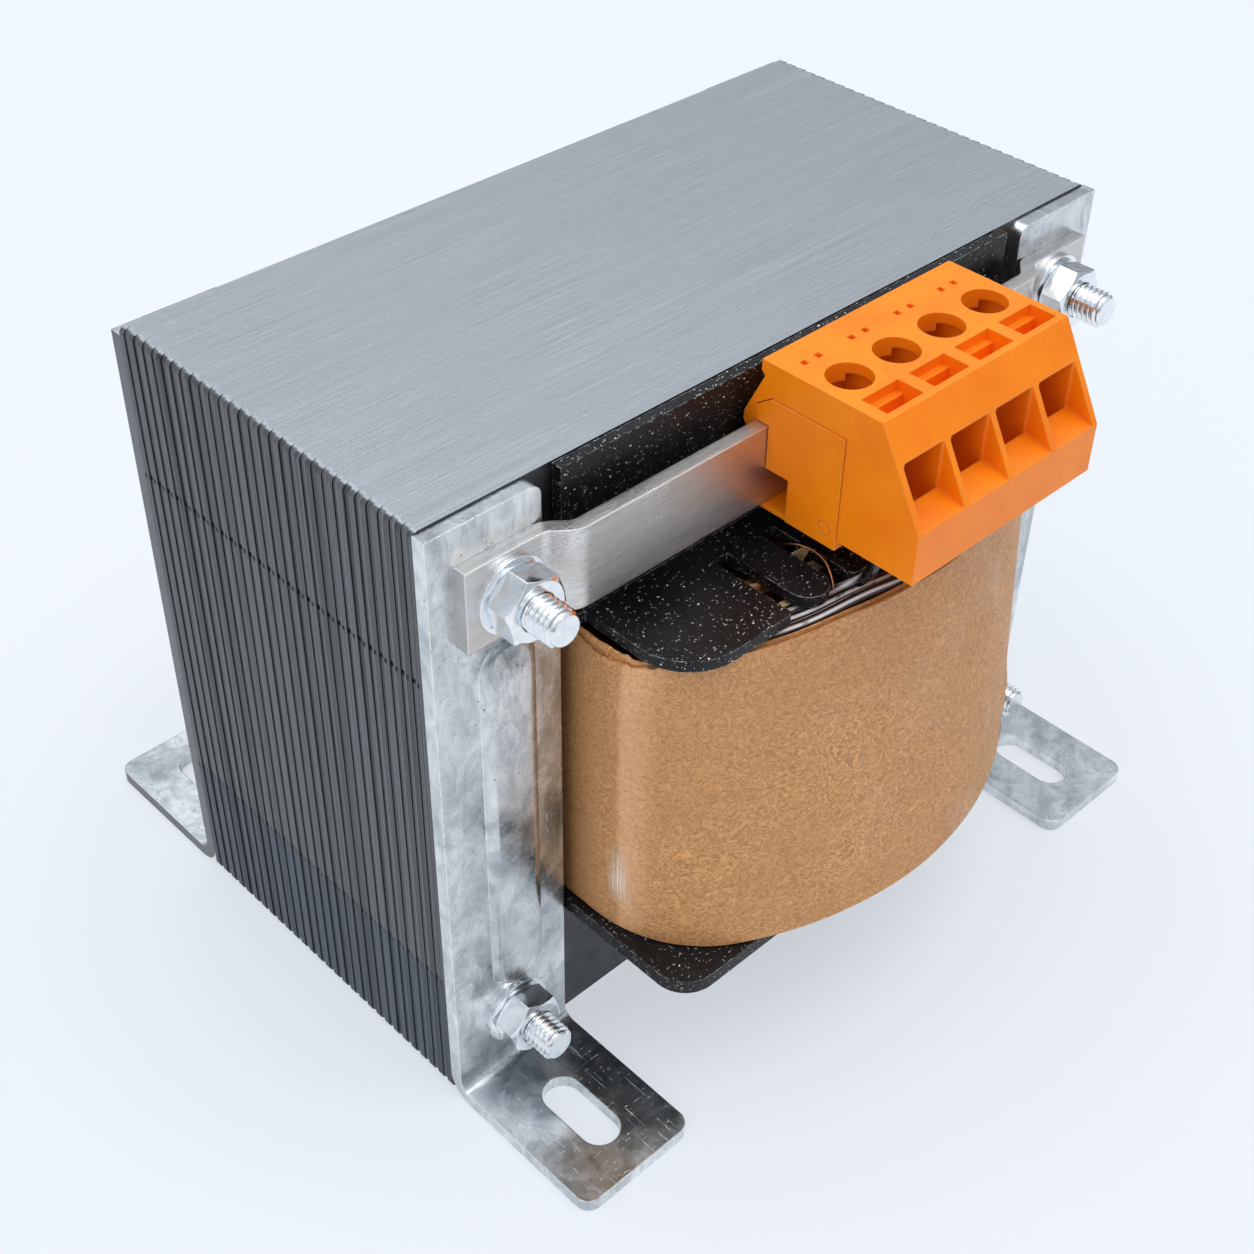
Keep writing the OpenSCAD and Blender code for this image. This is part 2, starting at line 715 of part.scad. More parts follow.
// outline of the end cover and of its seat, which is larger by a gap
module cover_outline(gap) {
    polygon([
        [out(cover_front + gap), strap_z0 + cover_h + gap],
        [out(block_back + 2 - gap), strap_z0 + cover_h + gap],
        [out(strap_back - gap), strap_z1 + 2.2 + gap],
        [out(strap_back - gap), slot_top - gap],
        [out(strap_front + fit_gap - gap), slot_top - gap],
        [out(strap_front + fit_gap - gap), channel_z - gap],
        [out(channel_y - gap), channel_z - gap],
        [out(channel_y - gap), lip_z - gap],
        [out(cover_front + gap), lip_z - gap]
    ]);
}

// hollow of one pole: wire entry, clamp chamber and screwdriver hole
module pole_hollow(i) {
    x = pole_x(i);
    half = chamber_w / 2;
    along_x(x - entry_w / 2, x + entry_w / 2)
        polygon([[out(nose_reach + 1), nose_z - entry_rise / entry_floor],
            [out(entry_back), nose_z + entry_rise], [out(entry_back), chamber_z1],
            [out(nose_reach + 1), chamber_z1]]);
    block([x - half, out(entry_back) - eps, chamber_z0],
        [x + half, out(chamber_back), chamber_z1]);
    block([x - half, out(chamber_front), chamber_z1 - 1],
        [x + half, out(chamber_back), block_top - top_t - ledge_t]);
    translate([0, 0, block_top - top_t - ledge_t - 1]) linear_extrude(ledge_t + 1)
        polygon([[x - 0.7, out(chamber_front)], [x + half, out(chamber_front)],
            [x + half, out(chamber_back)], [x + ledge_x, out(chamber_back)],
            [x + ledge_x, out(driver_y)], [x - 0.7, out(driver_y)]]);
    translate([x, out(driver_y), chamber_z1]) cylinder(d = driver_d, h = block_top);
}

// window in the top of one pole, with a ledge along its back
module pole_window(i) {
    x = pole_x(i) + 0.35;
    block([x - window_x / 2, out(window_back + window_y), block_top - top_t],
        [x + window_x / 2, out(window_back), block_top + 1]);
    block([x - window_x / 2, out(window_back + window_y), block_top - window_deep],
        [x + window_x / 2, out(window_back + 1), block_top]);
    block([x - window_x / 2 - 0.5, out(window_back + 3), block_top - window_deep],
        [x - window_x / 2 + eps, out(window_back + 1.6), block_top - 1]);
}

// two small marker slots behind one screwdriver hole
module pole_markers(i) {
    for (s = [-1, 1])
        translate([pole_x(i) + s * marker_gap / 2 - 0.5, out(marker_y), block_top])
            cube([marker, marker, 1.6], center = true);
}

// way for one solder tail down through the housing
module tail_way(i) {
    x = pole_x(i);
    block([x - bar_w / 2 - fit_gap, out(tail_y + fit_gap), lip_z - 1],
        [x + bar_w / 2 + fit_gap, out(tail_back - fit_gap), chamber_z0 + eps]);
}

module terminal_housing() {
    color("#f07d1a") difference() {
        along_x(block_x0, block_x1) housing_section();
        along_x(block_x0 - 1, block_x0 + cover_t) cover_outline(fit_gap);
        for (i = [1:poles]) {
            pole_hollow(i);
            pole_window(i);
            pole_markers(i);
            tail_way(i);
        }
    }
}

module terminal_end_cover() {
    color("#ee7a16") difference() {
        along_x(block_x0 - cover_proud, block_x0 + cover_t - fit_gap) cover_outline(0);
        translate([block_x0 - cover_proud, out(16.4), lip_z + 2.4]) rotate([0, -90, 0])
            difference() {
                cylinder(r = 1, h = 0.3, center = true);
                cylinder(r = 0.85, h = 0.4, center = true);
            }
    }
}

// ----------------------------------------------------------------- clamps

// bar under a wire, bent down into a solder tail
module contact_bar(i) {
    x = pole_x(i);
    color("#c9b37a") union() {
        block([x - bar_w / 2, out(tail_y), bar_z0], [x + bar_w / 2, out(bar_back), bar_z1]);
        block([x - bar_w / 2, out(tail_y), tail_z], [x + bar_w / 2, out(tail_back), bar_z0 + eps]);
    }
}

// cage that the screw draws up round the bar and the wire
module clamp_cage(i) {
    x = pole_x(i);
    color("#a9adb0") difference() {
        block([x - cage_w / 2, out(driver_y + cage_l / 2), cage_z0],
            [x + cage_w / 2, out(driver_y - cage_l / 2), cage_z3]);
        block([x - cage_w / 2 + cage_wall, out(driver_y + cage_l / 2 + 1), cage_z0 + cage_wall],
            [x + cage_w / 2 - cage_wall, out(driver_y - cage_l / 2 - 1), cage_z2]);
        translate([x, out(driver_y), cage_z2 - 1])
            cylinder(d = screw_d + 2 * fit_gap, h = cage_top + 2);
    }
}

// slotted clamp screw
module clamp_screw(i) {
    color("#9ea2a5") translate([pole_x(i), out(driver_y), cage_z2]) difference() {
        union() {
            cylinder(d = screw_d, h = cage_top + fit_gap + eps);
            translate([0, 0, cage_top + fit_gap]) cylinder(d = screw_head_d, h = screw_head_t);
        }
        translate([-screw_head_d, -0.4, cage_top + fit_gap + 0.6])
            cube([2 * screw_head_d, 0.8, screw_head_t]);
    }
}

// --------------------------------------------------------------- brackets

// side section of a bracket: flange, bend and foot
module bracket_section() {
    r = bend_r + bracket_t;
    translate([out(bracket_t), r]) square([bracket_t, core_top - r]);
    translate([out(foot_len), 0]) square([foot_len - r, bracket_t]);
    translate([out(r), r]) intersection() {
        difference() {
            circle(r);
            circle(bend_r);
        }
        translate([-eps, -2 * r]) square([2 * r, 2 * r + eps]);
    }
}

// front view of a left bracket, with the cut-out in its inner top corner
module bracket_front(top) {
    difference() {
        translate([-core_w / 2, 0]) square([bracket_w, top]);
        translate([-flange_x0 - relief_w, core_top - relief_h])
            square([relief_w + 1, relief_h + 1]);
        corner_cut(-flange_x0 - relief_w, top, relief_r);
    }
}

// half section of the bead: a low top with rounded shoulders
module bead_profile(w, h, r) {
    half = w / 2;
    drop = r - h;
    run = sqrt(r * r - drop * drop);
    intersection() {
        translate([0, -1]) square([half, h + 1]);
        union() {
            translate([0, -1]) square([half - run, h + 1]);
            translate([half - run, h - r]) circle(r);
        }
    }
}

// long pressed bead with round ends, standing out of the flange
module bead(w, h, r, z0, z1) {
    for (z = [z0 + w / 2, z1 - w / 2])
        translate([0, 0, z]) rotate([90, 0, 0]) rotate_extrude() bead_profile(w, h, r);
    translate([0, 0, z0 + w / 2]) linear_extrude(z1 - z0 - w) mirror([0, 1]) {
        bead_profile(w, h, r);
        mirror([1, 0]) bead_profile(w, h, r);
    }
}

// left bracket of a given height; the others are its mirror images
module left_bracket(top) {
    difference() {
        union() {
            intersection() {
                along_x(-core_w / 2, -flange_x0) bracket_section();
                along_y(0, foot_len) bracket_front(top);
                translate([-core_w / 2, 0, -1]) linear_extrude(core_top + 2) mirror([0, 1])
                    tongue(0, bracket_w, 0, face + foot_len, foot_corner_r, foot_corner_r);
            }
            translate([-bead_x, out(bracket_t), core_lift])
                bead(bead_w, bead_h, bead_shoulder_r, bead_z0, bead_z1);
        }
        translate([-bead_x, out(0), core_lift])
            bead(bead_w - 2 * bracket_t, bead_h, bead_shoulder_r, bead_z0 + bracket_t,
                bead_z1 - bracket_t);
        for (z = [bolt_z_low, bolt_z_high]) translate([-bolt_x, 0, z])
            rotate([90, 0, 0]) cylinder(d = bolt_hole_d, h = face + foot_len);
        translate([-core_w / 2 + bracket_w / 2, out(slot_y), -1]) linear_extrude(bracket_t + 2) {
            square([slot_d, slot_len - slot_d], center = true);
            for (s = [-1, 1]) translate([0, s * (slot_len - slot_d) / 2]) circle(d = slot_d);
        }
    }
}

module bracket(c) {
    color("#b4babd") mirror([c % 2, 0, 0]) mirror([0, c < 2 ? 0 : 1, 0])
        left_bracket(core_top - (c < 2 ? bracket_drop : back_drop));
}

// -------------------------------------------------------------- fasteners

// hexagon with a chamfered face at one end or at both, standing on its first face
module hex_body(af, t, both) {
    corner = af / sqrt(3);
    c = (corner - af / 2) * tan(30) * 1.4;
    intersection() {
        rotate(30) cylinder(r = corner, h = t, $fn = 6);
        rotate_extrude() polygon([[0, 0], [both ? af / 2 * 0.96 : corner + eps, 0],
            [corner + eps, both ? c : eps], [corner + eps, t - c], [af / 2 * 0.96, t], [0, t]]);
    }
}

// distance out of the core at which a bolt's washer lies
function seat(c) = bracket_t + (c < 2 ? strap_t : 0);
function bolt_z(c) = c < 2 ? bolt_z_high : bolt_z_low;

module bolt(c) {
    reach = seat(c) + washer_t + nut_t + thread_out;
    len = stack + bracket_t + reach;
    color("#c3c8cb") translate([side(c) * bolt_x, face + bracket_t, bolt_z(c)]) union() {
        rotate([-90, 0, 0]) rotate(nut_turn) hex_body(hex_af, head_t, false);
        rotate([90, 0, 0]) rotate_extrude() polygon([[0, -eps], [bolt_d / 2, -eps],
            [bolt_d / 2, len - bolt_chamfer], [bolt_d / 2 - bolt_chamfer, len], [0, len]]);
    }
}

module nut(c) {
    color("#bcc2c6") difference() {
        translate([side(c) * bolt_x, out(seat(c) + washer_t), bolt_z(c)])
            rotate([90, 0, 0]) rotate(nut_turn) hex_body(hex_af, nut_t, true);
        translate([side(c) * bolt_x, 0, bolt_z(c)]) rotate([90, 0, 0])
            cylinder(d = bolt_d + fit_gap, h = 2 * face);
    }
}

module washers() {
    color("#c9cdd0") for (c = [0:3])
        translate([side(c) * bolt_x, out(seat(c)), bolt_z(c)]) rotate([90, 0, 0]) difference() {
            cylinder(d = washer_d, h = washer_t);
            translate([0, 0, -1]) cylinder(d = bolt_hole_d, h = washer_t + 2);
        }
}

// -------------------------------------------------------------------- all

core_e_upright();
core_e_inverted();
core_i_top();
core_i_bottom();
bobbin();
primary_winding();
interlayer_insulation();
secondary_winding();
inner_wrap();
outer_wrap();
for (i = [1:4]) lead(i);
terminal_strap();
terminal_housing();
terminal_end_cover();
for (i = [1:poles]) contact_bar(i);
for (i = [1:poles]) clamp_cage(i);
for (i = [1:poles]) clamp_screw(i);
for (c = [0:3]) bracket(c);
for (c = [0:3]) bolt(c);
for (c = [0:3]) nut(c);
washers();
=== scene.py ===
"""Looks for a laminated chassis transformer: finishes, threads, wraps, leads and stage."""

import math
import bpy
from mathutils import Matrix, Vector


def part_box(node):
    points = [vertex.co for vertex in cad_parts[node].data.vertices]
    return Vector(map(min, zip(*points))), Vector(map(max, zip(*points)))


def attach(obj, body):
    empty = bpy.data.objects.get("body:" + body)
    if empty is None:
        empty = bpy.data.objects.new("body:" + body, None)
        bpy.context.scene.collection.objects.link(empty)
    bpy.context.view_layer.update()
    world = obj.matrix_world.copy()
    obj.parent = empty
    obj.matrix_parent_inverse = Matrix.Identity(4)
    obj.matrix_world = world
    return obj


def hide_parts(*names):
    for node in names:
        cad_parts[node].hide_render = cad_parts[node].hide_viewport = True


bl_info = {
    "name": "Chassis Transformer Looks",
    "version": (1, 0, 0),
    "blender": (4, 5, 0),
    "location": "3D Viewport > Sidebar > Transformer",
    "description": "Dresses a laminated transformer with its finishes and fine pieces",
    "category": "Object",
}

import bpy
from bpy.props import FloatProperty, FloatVectorProperty, IntProperty, PointerProperty
from mathutils import Vector

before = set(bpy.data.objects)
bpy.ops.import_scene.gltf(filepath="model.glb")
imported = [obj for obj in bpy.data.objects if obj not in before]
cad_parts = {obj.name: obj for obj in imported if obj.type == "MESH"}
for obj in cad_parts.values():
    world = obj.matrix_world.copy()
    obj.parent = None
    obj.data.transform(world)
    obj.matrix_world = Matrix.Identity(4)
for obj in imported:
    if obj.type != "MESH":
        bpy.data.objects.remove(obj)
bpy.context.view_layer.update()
MM = 0.001

PROUD_PLATES = ("core_e_upright", "core_i_bottom")
SET_BACK_PLATES = ("core_e_inverted", "core_i_top")
BRACKETS = tuple("bracket_" + c for c in ("front_left", "front_right", "back_left", "back_right"))
CORNERS = ("upper_left", "upper_right", "lower_left", "lower_right")
POLES = (1, 2, 3, 4)


def middle(name):
    """Middle of a CAD node's box, in metres."""
    low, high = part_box(name)
    return (Vector(low) + Vector(high)) / 2


# places read from the frame, in millimetres
FACE = -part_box("core_e_upright")[0][1] / MM
WRAP_BOTTOM, WRAP_TOP = (corner[2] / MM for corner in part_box("outer_wrap"))
LEAD_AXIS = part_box("lead_1")[0][2] / MM + 0.75
# heights of the two rows of gaps between the plates, in millimetres
TOP_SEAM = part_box("core_i_top")[1][2] / MM - 22
LOW_SEAM = 22.4
# share of the floor's and the surroundings' own pale colour that the camera sees
PALE_SHARE = 0.62
PALE_FLOOR = (0.83, 0.875, 0.93, 1)
PALE_SKY = (0.86, 0.9, 0.96, 1)


# ------------------------------------------------------------------ properties


class StageSettings(bpy.types.PropertyGroup):
    """Floor and camera."""

    floor_colour: FloatVectorProperty(
        name="Floor colour",
        description="Colour of the pale floor",
        subtype="COLOR",
        default=(0.79, 0.82, 0.865),
        min=0,
        max=1,
    )
    lens: FloatProperty(
        name="Lens",
        description="Focal length of the camera in millimetres",
        default=53.776,
        min=10,
    )


class PlateSettings(bpy.types.PropertyGroup):
    """Cut edges of the core's plates."""

    top_colour: FloatVectorProperty(
        name="Top colour",
        description="Colour of the ground top of the core",
        subtype="COLOR",
        default=(0.47, 0.51, 0.55),
        min=0,
        max=1,
    )
    side_colour: FloatVectorProperty(
        name="Side colour",
        description="Colour of the plates' cut edges at the sides",
        subtype="COLOR",
        default=(0.125, 0.13, 0.138),
        min=0,
        max=1,
    )
    plate_pitch: FloatProperty(
        name="Plate pitch",
        description="Distance between two gaps in the stack",
        subtype="DISTANCE",
        default=0.001,
        min=0.0001,
    )


class WrapSettings(bpy.types.PropertyGroup):
    """Kraft wraps round the coil."""

    paper_colour: FloatVectorProperty(
        name="Paper colour",
        description="Colour of the varnished kraft paper",
        subtype="COLOR",
        default=(0.62, 0.31, 0.118),
        min=0,
        max=1,
    )
    wave: FloatProperty(
        name="Edge wave",
        description="Height of the waves in the paper's top edge",
        subtype="DISTANCE",
        default=0.0003,
        min=0,
    )
    rows: IntProperty(
        name="Rows",
        description="Rows of faces from the wrap's bottom to its top",
        default=30,
        min=4,
        max=80,
    )


class LeadSettings(bpy.types.PropertyGroup):
    """Sleeved leads between the coil and the terminals."""

    sleeve: FloatProperty(
        name="Sleeve",
        description="Diameter of the leads' sleeves",
        subtype="DISTANCE",
        default=0.0015,
        min=0.0005,
    )
    bare: FloatProperty(
        name="Bare end",
        description="Diameter of the leads' bare ends",
        subtype="DISTANCE",
        default=0.0008,
        min=0.0002,
    )


class ThreadSettings(bpy.types.PropertyGroup):
    """Threads on the through bolts."""

    pitch: FloatProperty(
        name="Pitch",
        description="Pitch of the thread",
        subtype="DISTANCE",
        default=0.0008,
        min=0.0003,
    )
    depth: FloatProperty(
        name="Depth",
        description="Depth of the thread",
        subtype="DISTANCE",
        default=0.00042,
        min=0.0001,
    )
    radius: FloatProperty(
        name="Radius",
        description="Outer radius of the thread",
        subtype="DISTANCE",
        default=0.0025,
        min=0.001,
    )


class PlasticSettings(bpy.types.PropertyGroup):
    """Moulded plastics."""

    block_colour: FloatVectorProperty(
        name="Block colour",
        description="Colour of the terminal block",
        subtype="COLOR",
        default=(1.0, 0.245, 0.003),
        min=0,
        max=1,
    )
    bobbin_colour: FloatVectorProperty(
        name="Bobbin colour",
        description="Colour of the bobbin",
        subtype="COLOR",
        default=(0.007, 0.007, 0.008),
        min=0,
        max=1,
    )


# -------------------------------------------------------------------- finishes

EDGE_SAMPLES = 4


def scaled(colour, factor):
    """Colour made lighter or darker, and held at 1."""
    return tuple(min(c * factor, 1) for c in colour)


class Finish:
    """A procedural finish in the making. Patterns are laid out in millimetres."""

    def __init__(self, name, colour, metallic=0.0, roughness=0.5, **shader):
        self.material = bpy.data.materials.new(name)
        self.material.use_nodes = True
        self.tree = self.material.node_tree
        self.shader = self.tree.nodes["Principled BSDF"]
        self.shader.inputs["Base Color"].default_value = (*colour, 1)
        self.shader.inputs["Metallic"].default_value = metallic
        self.shader.inputs["Roughness"].default_value = roughness
        for key, value in shader.items():
            self.shader.inputs[key.replace("_", " ").title().replace("Ior", "IOR")].default_value = value
        place = self.add("TexCoord").outputs["Object"]
        self.mm = self.add("VectorMath", {0: place, "Scale": 1000.0}, operation="SCALE").outputs[0]
        self.axes = self.add("SeparateXYZ", {0: self.mm}).outputs
        self.facing = self.add(
            "SeparateXYZ", {0: self.add("NewGeometry").outputs["Normal"]}
        ).outputs

    def add(self, kind, inputs=None, **settings):
        """Makes a node, with values or other nodes' outputs on its sockets."""
        made = self.tree.nodes.new("ShaderNode" + kind)
        for key, value in settings.items():
            setattr(made, key, value)
        for key, value in (inputs or {}).items():
            self.put(made.inputs[key], value)
        return made

    def put(self, socket, value):
        """Links an output to a socket, or sets the socket's value."""
        if isinstance(value, bpy.types.NodeSocket):
            self.tree.links.new(value, socket)
        else:
            socket.default_value = value

    def sum(self, operation, a, b=0.0, c=0.0):
        """Math node of the given operation."""
        made = self.add("Math", {0: a, 1: b, 2: c}, operation=operation)
        return made.outputs[0]

    def grain(self, stretch, detail=3.0, roughness=0.55, distortion=0.0, shift=(0, 0, 0)):
        """Noise with its own frequency along each axis, in cycles per millimetre."""
        place = self.add("Mapping", {"Vector": self.mm, "Location": shift, "Scale": stretch})
        made = self.add(
            "TexNoise",
            {
                "Vector": place.outputs[0],
                "Scale": 1.0,
                "Detail": detail,
                "Roughness": roughness,
                "Distortion": distortion,
            },
        )
        return made.outputs[0]

    def cells(self, stretch, output="Distance"):
        """Voronoi cells with their own frequency along each axis, in cycles per millimetre."""
        place = self.add("Mapping", {"Vector": self.mm, "Scale": stretch})
        made = self.add("TexVoronoi", {"Vector": place.outputs[0], "Scale": 1.0})
        return made.outputs[output]

    def spread(self, value, low, high, start=0.0, end=1.0):
        """Value moved from low..high to start..end and held inside."""
        made = self.add(
            "MapRange", {0: value, 1: low, 2: high, 3: start, 4: end}, interpolation_type="LINEAR"
        )
        return made.outputs[0]

    def blend(self, factor, a, b, kind="MIX"):
        """Mix of two colours."""
        made = self.add("Mix", data_type="RGBA", blend_type=kind)
        a = (*a, 1) if isinstance(a, tuple) else a
        b = (*b, 1) if isinstance(b, tuple) else b
        for socket, value in ((made.inputs[0], factor), (made.inputs[6], a), (made.inputs[7], b)):
            self.put(socket, value)
        return made.outputs[2]

    def highlight_mask(self, radius, patchy=0.35):
        """Mask of a piece's sharp edges, broken up a little, where a highlight is painted; radius is in
        millimetres.
        """
        soft = self.add("Bevel", {"Radius": radius * MM}, samples=EDGE_SAMPLES).outputs[0]
        plain = self.add("NewGeometry").outputs["Normal"]
        same = self.add("VectorMath", {0: soft, 1: plain}, operation="DOT_PRODUCT").outputs["Value"]
        patch_noise = self.grain((1.1, 1.1, 1.1), detail=3, shift=(9, 4, 6))
        patchy_share = self.spread(patch_noise, patchy, patchy + 0.2)
        return self.sum("MULTIPLY", self.spread(same, 0.9, 0.985, 1.0, 0.0), patchy_share)

    def surface(self, colour=None, roughness=None, height=None, depth=0.05, edge=0.0, strength=1.0):
        """Joins what was made to the shader; depth and edge are in millimetres."""
        if colour is not None:
            self.put(self.shader.inputs["Base Color"], colour)
        if roughness is not None:
            self.put(self.shader.inputs["Roughness"], roughness)
        normal = None
        if edge:
            normal = self.add("Bevel", {"Radius": edge * MM}, samples=EDGE_SAMPLES).outputs[0]
        if height is not None:
            inputs = {"Height": height, "Distance": depth * MM, "Strength": strength}
            if normal is not None:
                inputs["Normal"] = normal
            normal = self.add("Bump", inputs).outputs[0]
        if normal is not None:
            self.put(self.shader.inputs["Normal"], normal)
        return self.material


def plate_finish(name, top, side, pitch, gain):
    """Plate edges: ground and brushed on top, ridged at the sides, rolled skin in front painted darker
    as shade; the set-back plates' side edges are painted lighter to offset their shade.
    """
    f = Finish(name, top, metallic=0.8, roughness=0.42)
    y, z = f.axes[1], f.axes[2]
    on_side = f.spread(f.sum("ABSOLUTE", f.facing[0]), 0.4, 0.6)
    on_front = f.spread(f.sum("ABSOLUTE", f.facing[1]), 0.4, 0.6)
    fine = f.grain((0.03, 6.5, 0.03), detail=5, roughness=0.72)
    hairs = f.grain((0.16, 9.0, 0.1), detail=2, roughness=0.6, shift=(8, 3, 0))
    soft = f.grain((0.008, 0.35, 0.012), detail=2)
    ground = f.blend(f.spread(fine, 0.3, 0.72), scaled(top, 0.66), scaled(top, 1.14))
    ground = f.blend(f.spread(soft, 0.35, 0.65, 0.0, 0.3), ground, scaled(top, 0.8))
    ground = f.blend(f.spread(hairs, 0.66, 0.78, 0.0, 0.7), ground, scaled(top, 1.7))
    ground = f.blend(f.spread(hairs, 0.22, 0.34, 0.6, 0.0), ground, scaled(top, 0.45))
    wander = f.sum("MULTIPLY", f.grain((0.3, 0.25, 0.025), detail=2), 0.7)
    sheets = f.sum("DIVIDE", f.sum("ADD", y, wander), pitch * 500)
    sheet = f.sum("FLOOR", sheets)
    chance = f.add("TexWhiteNoise", {"W": sheet}, noise_dimensions="1D").outputs[0]
    packet = f.sum("ADD", f.sum("FLOOR", f.sum("DIVIDE", sheets, 2.0)), 0.5)
    group = f.add("TexWhiteNoise", {"W": packet}, noise_dimensions="1D").outputs[0]
    rim = f.sum("ABSOLUTE", f.sum("SINE", f.sum("MULTIPLY", sheets, math.pi)))
    gap = f.spread(rim, 0.08, 0.55, 0.28, 1.0)
    gap = f.sum("POWER", gap, f.spread(chance, 0.0, 1.0, 0.1, 1.3))
    lit = f.sum("MULTIPLY", gap, f.spread(chance, 0.0, 1.0, 0.66, 1.25))
    lit = f.sum("MULTIPLY", lit, f.spread(group, 0.0, 0.6, 0.55, 1.12))
    streak = f.grain((0.05, 2.2, 0.03), detail=4, roughness=0.7, shift=(3, 7, 1))
    lit = f.sum("MULTIPLY", lit, f.spread(streak, 0.3, 0.7, 0.7, 1.3))
    # painted light: gain lifts the side edges' colour, higher on the set-back plates to offset the shade
    # of their recess
    edge = f.blend(lit, scaled(side, 0.1), scaled(side, gain))
    low = f.spread(z, LOW_SEAM - 0.1, LOW_SEAM + 0.1, 1.0, 0.0)
    edge = f.blend(low, edge, (0.68, 0.76, 0.86), "MULTIPLY")
    nick = f.spread(f.cells((0.5, 2.0, 0.5)), 0.04, 0.07, 1.0, 0.0)
    edge = f.blend(f.sum("MULTIPLY", nick, 0.5), edge, scaled(side, 3.2))
    along = f.sum("SINE", f.sum("MULTIPLY", y, 2 * math.pi / (pitch * 1000)))
    seam_rows = f.spread(along, -0.15, 0.15)
    for height, strength in ((TOP_SEAM, 1.0), (LOW_SEAM, 0.7)):
        near = f.sum("COMPARE", z, height, 0.36)
        hole = f.sum("MULTIPLY", f.sum("MULTIPLY", near, seam_rows), strength)
        edge = f.blend(hole, edge, (0.002, 0.002, 0.003))
    # painted shade: the rolled skin on the front faces is coloured darker to stand for the shade on the
    # core's front
    blotch = f.grain((0.3, 0.3, 0.3), detail=4)
    skin = f.blend(f.spread(blotch, 0.3, 0.7), (0.045, 0.047, 0.052), (0.085, 0.088, 0.092))
    colour = f.blend(on_side, f.blend(on_front, ground, skin), edge)
    rough = f.spread(on_side, 0, 1, 0.38, 0.5)
    relief = f.blend(on_side, f.spread(fine, 0.2, 0.8), lit)
    return f.surface(colour, rough, relief, depth=0.1, strength=0.55)


# place across, height, half width and half height of the painted dark patches (painted dark reflections
# and shade), in millimetres
PAINTED_DARK_PATCHES = ((50.0, 75.5, 5.0, 5.0), (42.0, 42.0, 3.0, 7.0), (55.0, 20.0, 4.0, 3.0))


def galvanised_finish(name, raw_edge_and_shade):
    """Zinc-dipped sheet: faint spangle, scratches and pin holes, with painted dark reflections and
    shade, painted edge highlights and upward faces painted darker.
    """
    f = Finish(name, (0.6, 0.63, 0.66), metallic=0.95, roughness=0.3)
    x, z = f.axes[0], f.axes[2]
    cloud = f.grain((0.11, 0.11, 0.09), detail=5, roughness=0.62, distortion=0.8)
    flow = f.grain((0.3, 0.3, 0.12), detail=4, roughness=0.65, distortion=1.5, shift=(7, 7, 3))
    flake = f.add("RGBToBW", {0: f.cells((0.35, 0.35, 0.35), output="Color")}).outputs[0]
    scratch_a = f.grain((3.2, 0.12, 0.9), detail=2, roughness=0.6)
    scratch_b = f.grain((0.5, 2.6, 4.0), detail=2, roughness=0.6, shift=(5, 1, 2))
    mark = f.sum("MAXIMUM", f.spread(scratch_a, 0.66, 0.72), f.spread(scratch_b, 0.66, 0.72))
    pit = f.spread(f.cells((0.6, 0.6, 0.6)), 0.05, 0.1, 1.0, 0.0)
    pit = f.sum("MULTIPLY", pit, f.spread(cloud, 0.45, 0.55))
    colour = f.blend(f.spread(cloud, 0.3, 0.66), (0.4, 0.435, 0.46), (0.93, 0.955, 0.965))
    colour = f.blend(f.spread(flow, 0.36, 0.58, 0.6, 0.0), colour, (0.36, 0.4, 0.43))
    colour = f.blend(f.spread(flake, 0.3, 0.7, 0.0, 0.2), colour, (0.95, 0.97, 0.98))
    wide = f.sum("ABSOLUTE", x)
    ragged = f.sum("MULTIPLY", flow, 1.6)
    # painted dark reflections and shade: dark patches laid over the sheet's colour
    for at, up, across, tall in PAINTED_DARK_PATCHES:
        far = f.sum("POWER", f.sum("DIVIDE", f.sum("SUBTRACT", wide, at), across), 2.0)
        high = f.sum("POWER", f.sum("DIVIDE", f.sum("SUBTRACT", z, up), tall), 2.0)
        near = f.spread(f.sum("ADD", f.sum("ADD", far, high), ragged), 0.7, 1.7, 1.0, 0.0)
        colour = f.blend(f.sum("MULTIPLY", near, 0.75), colour, (0.14, 0.155, 0.17))
    colour = f.blend(f.sum("MULTIPLY", mark, 0.4), colour, (0.95, 0.96, 0.97))
    colour = f.blend(f.sum("MULTIPLY", pit, 0.85), colour, (0.06, 0.065, 0.07))
    # painted highlight along the edges
    colour = f.blend(f.highlight_mask(0.3, 0.3), colour, (0.97, 0.98, 0.98))
    # painted dark reflection: faces that look up are coloured darker
    level = f.spread(f.facing[2], 0.6, 0.9)
    colour = f.blend(level, colour, (0.78, 0.8, 0.82), "MULTIPLY")
    # the back brackets' sheared edges take the dark plate-side colour: raw steel, and painted shade
    if raw_edge_and_shade:
        sheared_and_shaded = f.spread(f.sum("ABSOLUTE", f.facing[0]), 0.6, 0.8)
        colour = f.blend(sheared_and_shaded, colour, raw_edge_and_shade)
    rough = f.sum("ADD", f.spread(cloud, 0.3, 0.7, 0.16, 0.34), f.sum("MULTIPLY", flake, 0.05))
    relief = f.sum("SUBTRACT", f.sum("MULTIPLY", cloud, 1.6), f.sum("ADD", mark, pit))
    return f.surface(colour, rough, relief, depth=0.06, edge=0.25, strength=0.7)


